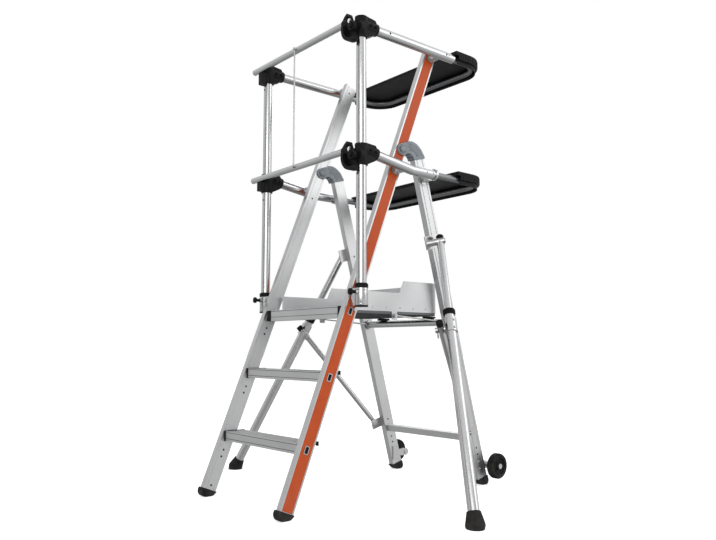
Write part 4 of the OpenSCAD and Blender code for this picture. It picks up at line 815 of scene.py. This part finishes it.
for s, side in sides:
    bm = bmesh.new()  # closed black tip over the brace's end
    turned(bm, swollen(stab["braceR"], stab["tip"], stab["tipEnds"]),
           flip(bracePivot + braceDir * braceLen, s), flip(braceDir, s))
    finishPiece(side + "BraceTip", bm, "black", side + "_brace_body")
    bm = bmesh.new()  # rounded cap over the upper tube's end
    turned(bm, swollen(stab["tubeR"], stab["cap"], stab["capEnds"]), flip(stabTop, s), flip(stabDir, s))
    finishPiece(side + "StabiliserCap", bm, "black", side + "_stabiliser")
    bm = bmesh.new()  # ribbed grip rings round the lower tube's cap
    for along in stab["rings"]:
        turned(bm, swollen(stab["lowerR"], stab["ring"]), flip(stabTop + stabDir * along, s), flip(stabDir, s))
    finishPiece(side + "GuideRings", bm, "black", side + "_stabiliser_foot")
    out = foldSide * stab["clampTurn"][0] + foldAxis * stab["clampTurn"][1]
    out = (out - stabDir * out.dot(stabDir)).normalized()
    rows = [(flip(stabTop + stabDir * along + out * stab["clampOut"], s), flip(out, s)) for along in stab["clampBolts"]]
    setRow(side + "ClampBolts", "bolt", rows, "steel", side + "_stabiliser_foot",
           stab["clampSize"], looseTurn, seed=11)
print("stabilisers dressed")

socket = {"r": 23.1, "steps": 44, "bands": (705.0, 754.0), "band": ((-0.6, 0), (1.1, 0.6), (1.1, 2.6), (-0.6, 3.2)),
          "foot": ((21.7, 696), (23.9, 696), (23.9, 701.5), (21.7, 701.5)),
          "lip": ((18.7, 777), (21.5, 777), (21.0, 779.5), (18.7, 780.5)),
          "screws": (718.0, 744.0), "screwAim": (0.94, 0.34), "screwSize": 0.9}
bm, dark = bmesh.new(), bmesh.new()
rows = []
for s, side in sides:
    at = Vector((s * places["postX"], places["postY"], 0))
    for z in socket["bands"]:
        turned(bm, [(socket["r"] + more, z + h) for more, h in socket["band"]], at, up, socket["steps"])
    for ring in ("foot", "lip"):
        turned(dark, socket[ring], at, up, socket["steps"])
    aim = Vector((s * socket["screwAim"][0], socket["screwAim"][1], 0)).normalized()
    rows += [(at + Vector((0, 0, z)) + aim * socket["r"], aim) for z in socket["screws"]]
finishPiece("socketBands", bm, "post", "front_frame")
finishPiece("collarLips", dark, "black", "front_frame")
setRow("socketScrews", "rivet", rows, "steel", "front_frame", socket["screwSize"], looseTurn, seed=9)
print("sockets dressed")

grooveShade = {"inset": 12.0, "drop": (4.2, 27.0), "tall": 1.6, "thick": 0.8, "sink": 0.1, "soft": 0.2}
bm = bmesh.new()
for name in ("lower_tread", "upper_tread", "platform_nosing"):  # black strips along the front faces, painted shade of the grooves there
    lo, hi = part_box(name)
    size = ((hi[0] - lo[0]) / mm - 2 * grooveShade["inset"], grooveShade["thick"], grooveShade["tall"])
    for drop in grooveShade["drop"]:
        roundBox(bm, size, (0, lo[1] / mm + grooveShade["sink"], hi[2] / mm - drop), None, grooveShade["soft"])
finishPiece("treadGrooves", bm, "black", "front_frame")

deckGrip = {"pitch": 30.0, "top": 698.0, "front": -195.0, "rows": 14, "columns": 13}
rows = []
for i in range(deckGrip["columns"]):
    for j in range(deckGrip["rows"]):
        x = (i - (deckGrip["columns"] - 1) / 2) * deckGrip["pitch"]
        y = deckGrip["front"] + (j + (0.5 if i % 2 else 0)) * deckGrip["pitch"]
        rows.append(((x, y, deckGrip["top"]), up))
setRow("deckGrip", "dot", rows, "deck", "platform")

toe = {"x": 227.0, "z": 704.0, "first": -180.0, "step": 70.0, "count": 6,
       "rear": 260.0, "rearStep": 75.0, "rearCount": 5, "size": 0.8}
rows = []
for s, side in sides:
    for k in range(toe["count"]):
        rows.append(((s * toe["x"], toe["first"] + toe["step"] * k, toe["z"]), (s, 0, 0)))
for k in range(toe["rearCount"]):
    x = (k - (toe["rearCount"] - 1) / 2) * toe["rearStep"]
    rows.append(((x, toe["rear"], toe["z"]), (0, 1, 0)))
setRow("toeRivets", "rivet", rows, "steel", "platform", toe["size"], looseTurn, seed=13)
print("platform dressed")

for shape in heads.values():  # the loose heads were only patterns
    mesh = shape.data
    bpy.data.objects.remove(shape)
    bpy.data.meshes.remove(mesh)

view = {"lens": 36.38, "sensor": 36.0, "far": 200.0, "place": (2.2446, -1.8768, 0.5574), "tilt": 96.042, "turn": 49.944}
cam = bpy.data.cameras.new("mainCamera")
camera = bpy.data.objects.new("mainCamera", cam)
bpy.context.collection.objects.link(camera)
bpy.context.scene.camera = camera
cam.sensor_width = view["sensor"]
cam.lens = view["lens"]
cam.clip_end = view["far"]
camera.location = view["place"]
camera.rotation_euler = (math.radians(view["tilt"]), 0, math.radians(view["turn"]))

studio = {"floorColour": (0.9, 0.9, 0.9), "floorGlow": 0.55, "floorSize": 60.0, "floorDrop": 0.0005, "matt": 0.9,
          "shine": 0.1, "cardColour": (0.02, 0.02, 0.02), "cardSize": (0.8, 3.2), "cardAim": (0, 0, 0.9),
          "cards": {"cardLeft": (-0.4, -4.4, 1.9), "cardRight": (4.6, 0.4, 1.9)},
          "low": 0.22, "top": 0.80, "lowAt": -0.8, "topAt": 0.9, "side": 0.42, "front": 0.17,
          "sideWay": (0.76, 0.65, 0.1), "seen": 1.0}
lamps = {"keyLight": (33.0, 2.0, (2.4, -2.8, 1.7), (0, 0, 1.0)),  # power, size, place and aim
         "fillLight": (22.0, 2.4, (3.2, 2.4, 2.6), (0, 0, 0.9)),
         "rimLight": (18.0, 1.5, (-2.4, 2.6, 3.2), (0, 0, 1.0))}


def plane(name, sizeX, sizeY, place, aim, colour, glow=0.0):
    bm = bmesh.new()
    bmesh.ops.create_grid(bm, x_segments=1, y_segments=1, size=0.5)
    mesh = bpy.data.meshes.new(name)
    bm.to_mesh(mesh)
    bm.free()
    obj = bpy.data.objects.new(name, mesh)
    obj.scale = (sizeX, sizeY, 1)
    obj.location = place
    if aim is not None:
        obj.rotation_euler = (Vector(aim) - Vector(place)).to_track_quat("Z", "Y").to_euler()
    bpy.context.collection.objects.link(obj)
    mat = bpy.data.materials.new(name)
    mat.use_nodes = True
    for label, value in (("Base Color", (*colour, 1)), ("Roughness", studio["matt"]),
                         ("Specular IOR Level", studio["shine"]), ("Emission Color", (1, 1, 1, 1)),
                         ("Emission Strength", glow)):
        mat.node_tree.nodes["Principled BSDF"].inputs[label].default_value = value
    mesh.materials.append(mat)
    return obj


floor = plane("paleFloor", studio["floorSize"], studio["floorSize"], (0, 0, -studio["floorDrop"]), None,
              studio["floorColour"], studio["floorGlow"])
floor.visible_glossy = False
for name, place in studio["cards"].items():
    obj = plane(name, *studio["cardSize"], place, studio["cardAim"], studio["cardColour"])
    obj.visible_camera = obj.visible_diffuse = obj.visible_shadow = False  # only seen in the metal

world = bpy.data.worlds.new("paleStudio")
bpy.context.scene.world = world
world.use_nodes = True
tree = world.node_tree
back = tree.nodes["Background"]
way = tree.nodes.new("ShaderNodeTexCoord")
split = tree.nodes.new("ShaderNodeSeparateXYZ")
tree.links.new(way.outputs["Generated"], split.inputs[0])
ramp = tree.nodes.new("ShaderNodeMapRange")
for label, key in (("From Min", "lowAt"), ("From Max", "topAt"), ("To Min", "low"), ("To Max", "top")):
    ramp.inputs[label].default_value = studio[key]
tree.links.new(split.outputs[2], ramp.inputs["Value"])
beside = tree.nodes.new("ShaderNodeVectorMath")  # the right rear is brighter, the left front a little
beside.operation = "DOT_PRODUCT"
beside.inputs[1].default_value = studio["sideWay"]
tree.links.new(way.outputs["Generated"], beside.inputs[0])
extra = mathNode(tree, "MULTIPLY", mathNode(tree, "MAXIMUM", beside.outputs["Value"], 0.0), studio["side"])
facing = mathNode(tree, "MAXIMUM", mathNode(tree, "MULTIPLY", beside.outputs["Value"], -1.0), 0.0)
extra = mathNode(tree, "ADD", extra, mathNode(tree, "MULTIPLY", facing, studio["front"]))
sky = mathNode(tree, "ADD", ramp.outputs[0], extra)
path = tree.nodes.new("ShaderNodeLightPath")
pick = tree.nodes.new("ShaderNodeMix")
tree.links.new(path.outputs["Is Camera Ray"], pick.inputs[0])
tree.links.new(sky, pick.inputs[2])
pick.inputs[3].default_value = studio["seen"]
tree.links.new(pick.outputs[0], back.inputs[1])
back.inputs[0].default_value = (1, 1, 1, 1)
bpy.context.scene.view_settings.view_transform = "Standard"


def areaLight(name, power, size, place, aim):
    lamp = bpy.data.lights.new(name, "AREA")
    lamp.energy = power
    lamp.size = size
    obj = bpy.data.objects.new(name, lamp)
    obj.location = place
    obj.rotation_euler = (Vector(aim) - Vector(place)).to_track_quat("-Z", "Y").to_euler()
    bpy.context.collection.objects.link(obj)


for name, values in lamps.items():
    areaLight(name, *values)
print("studio set")
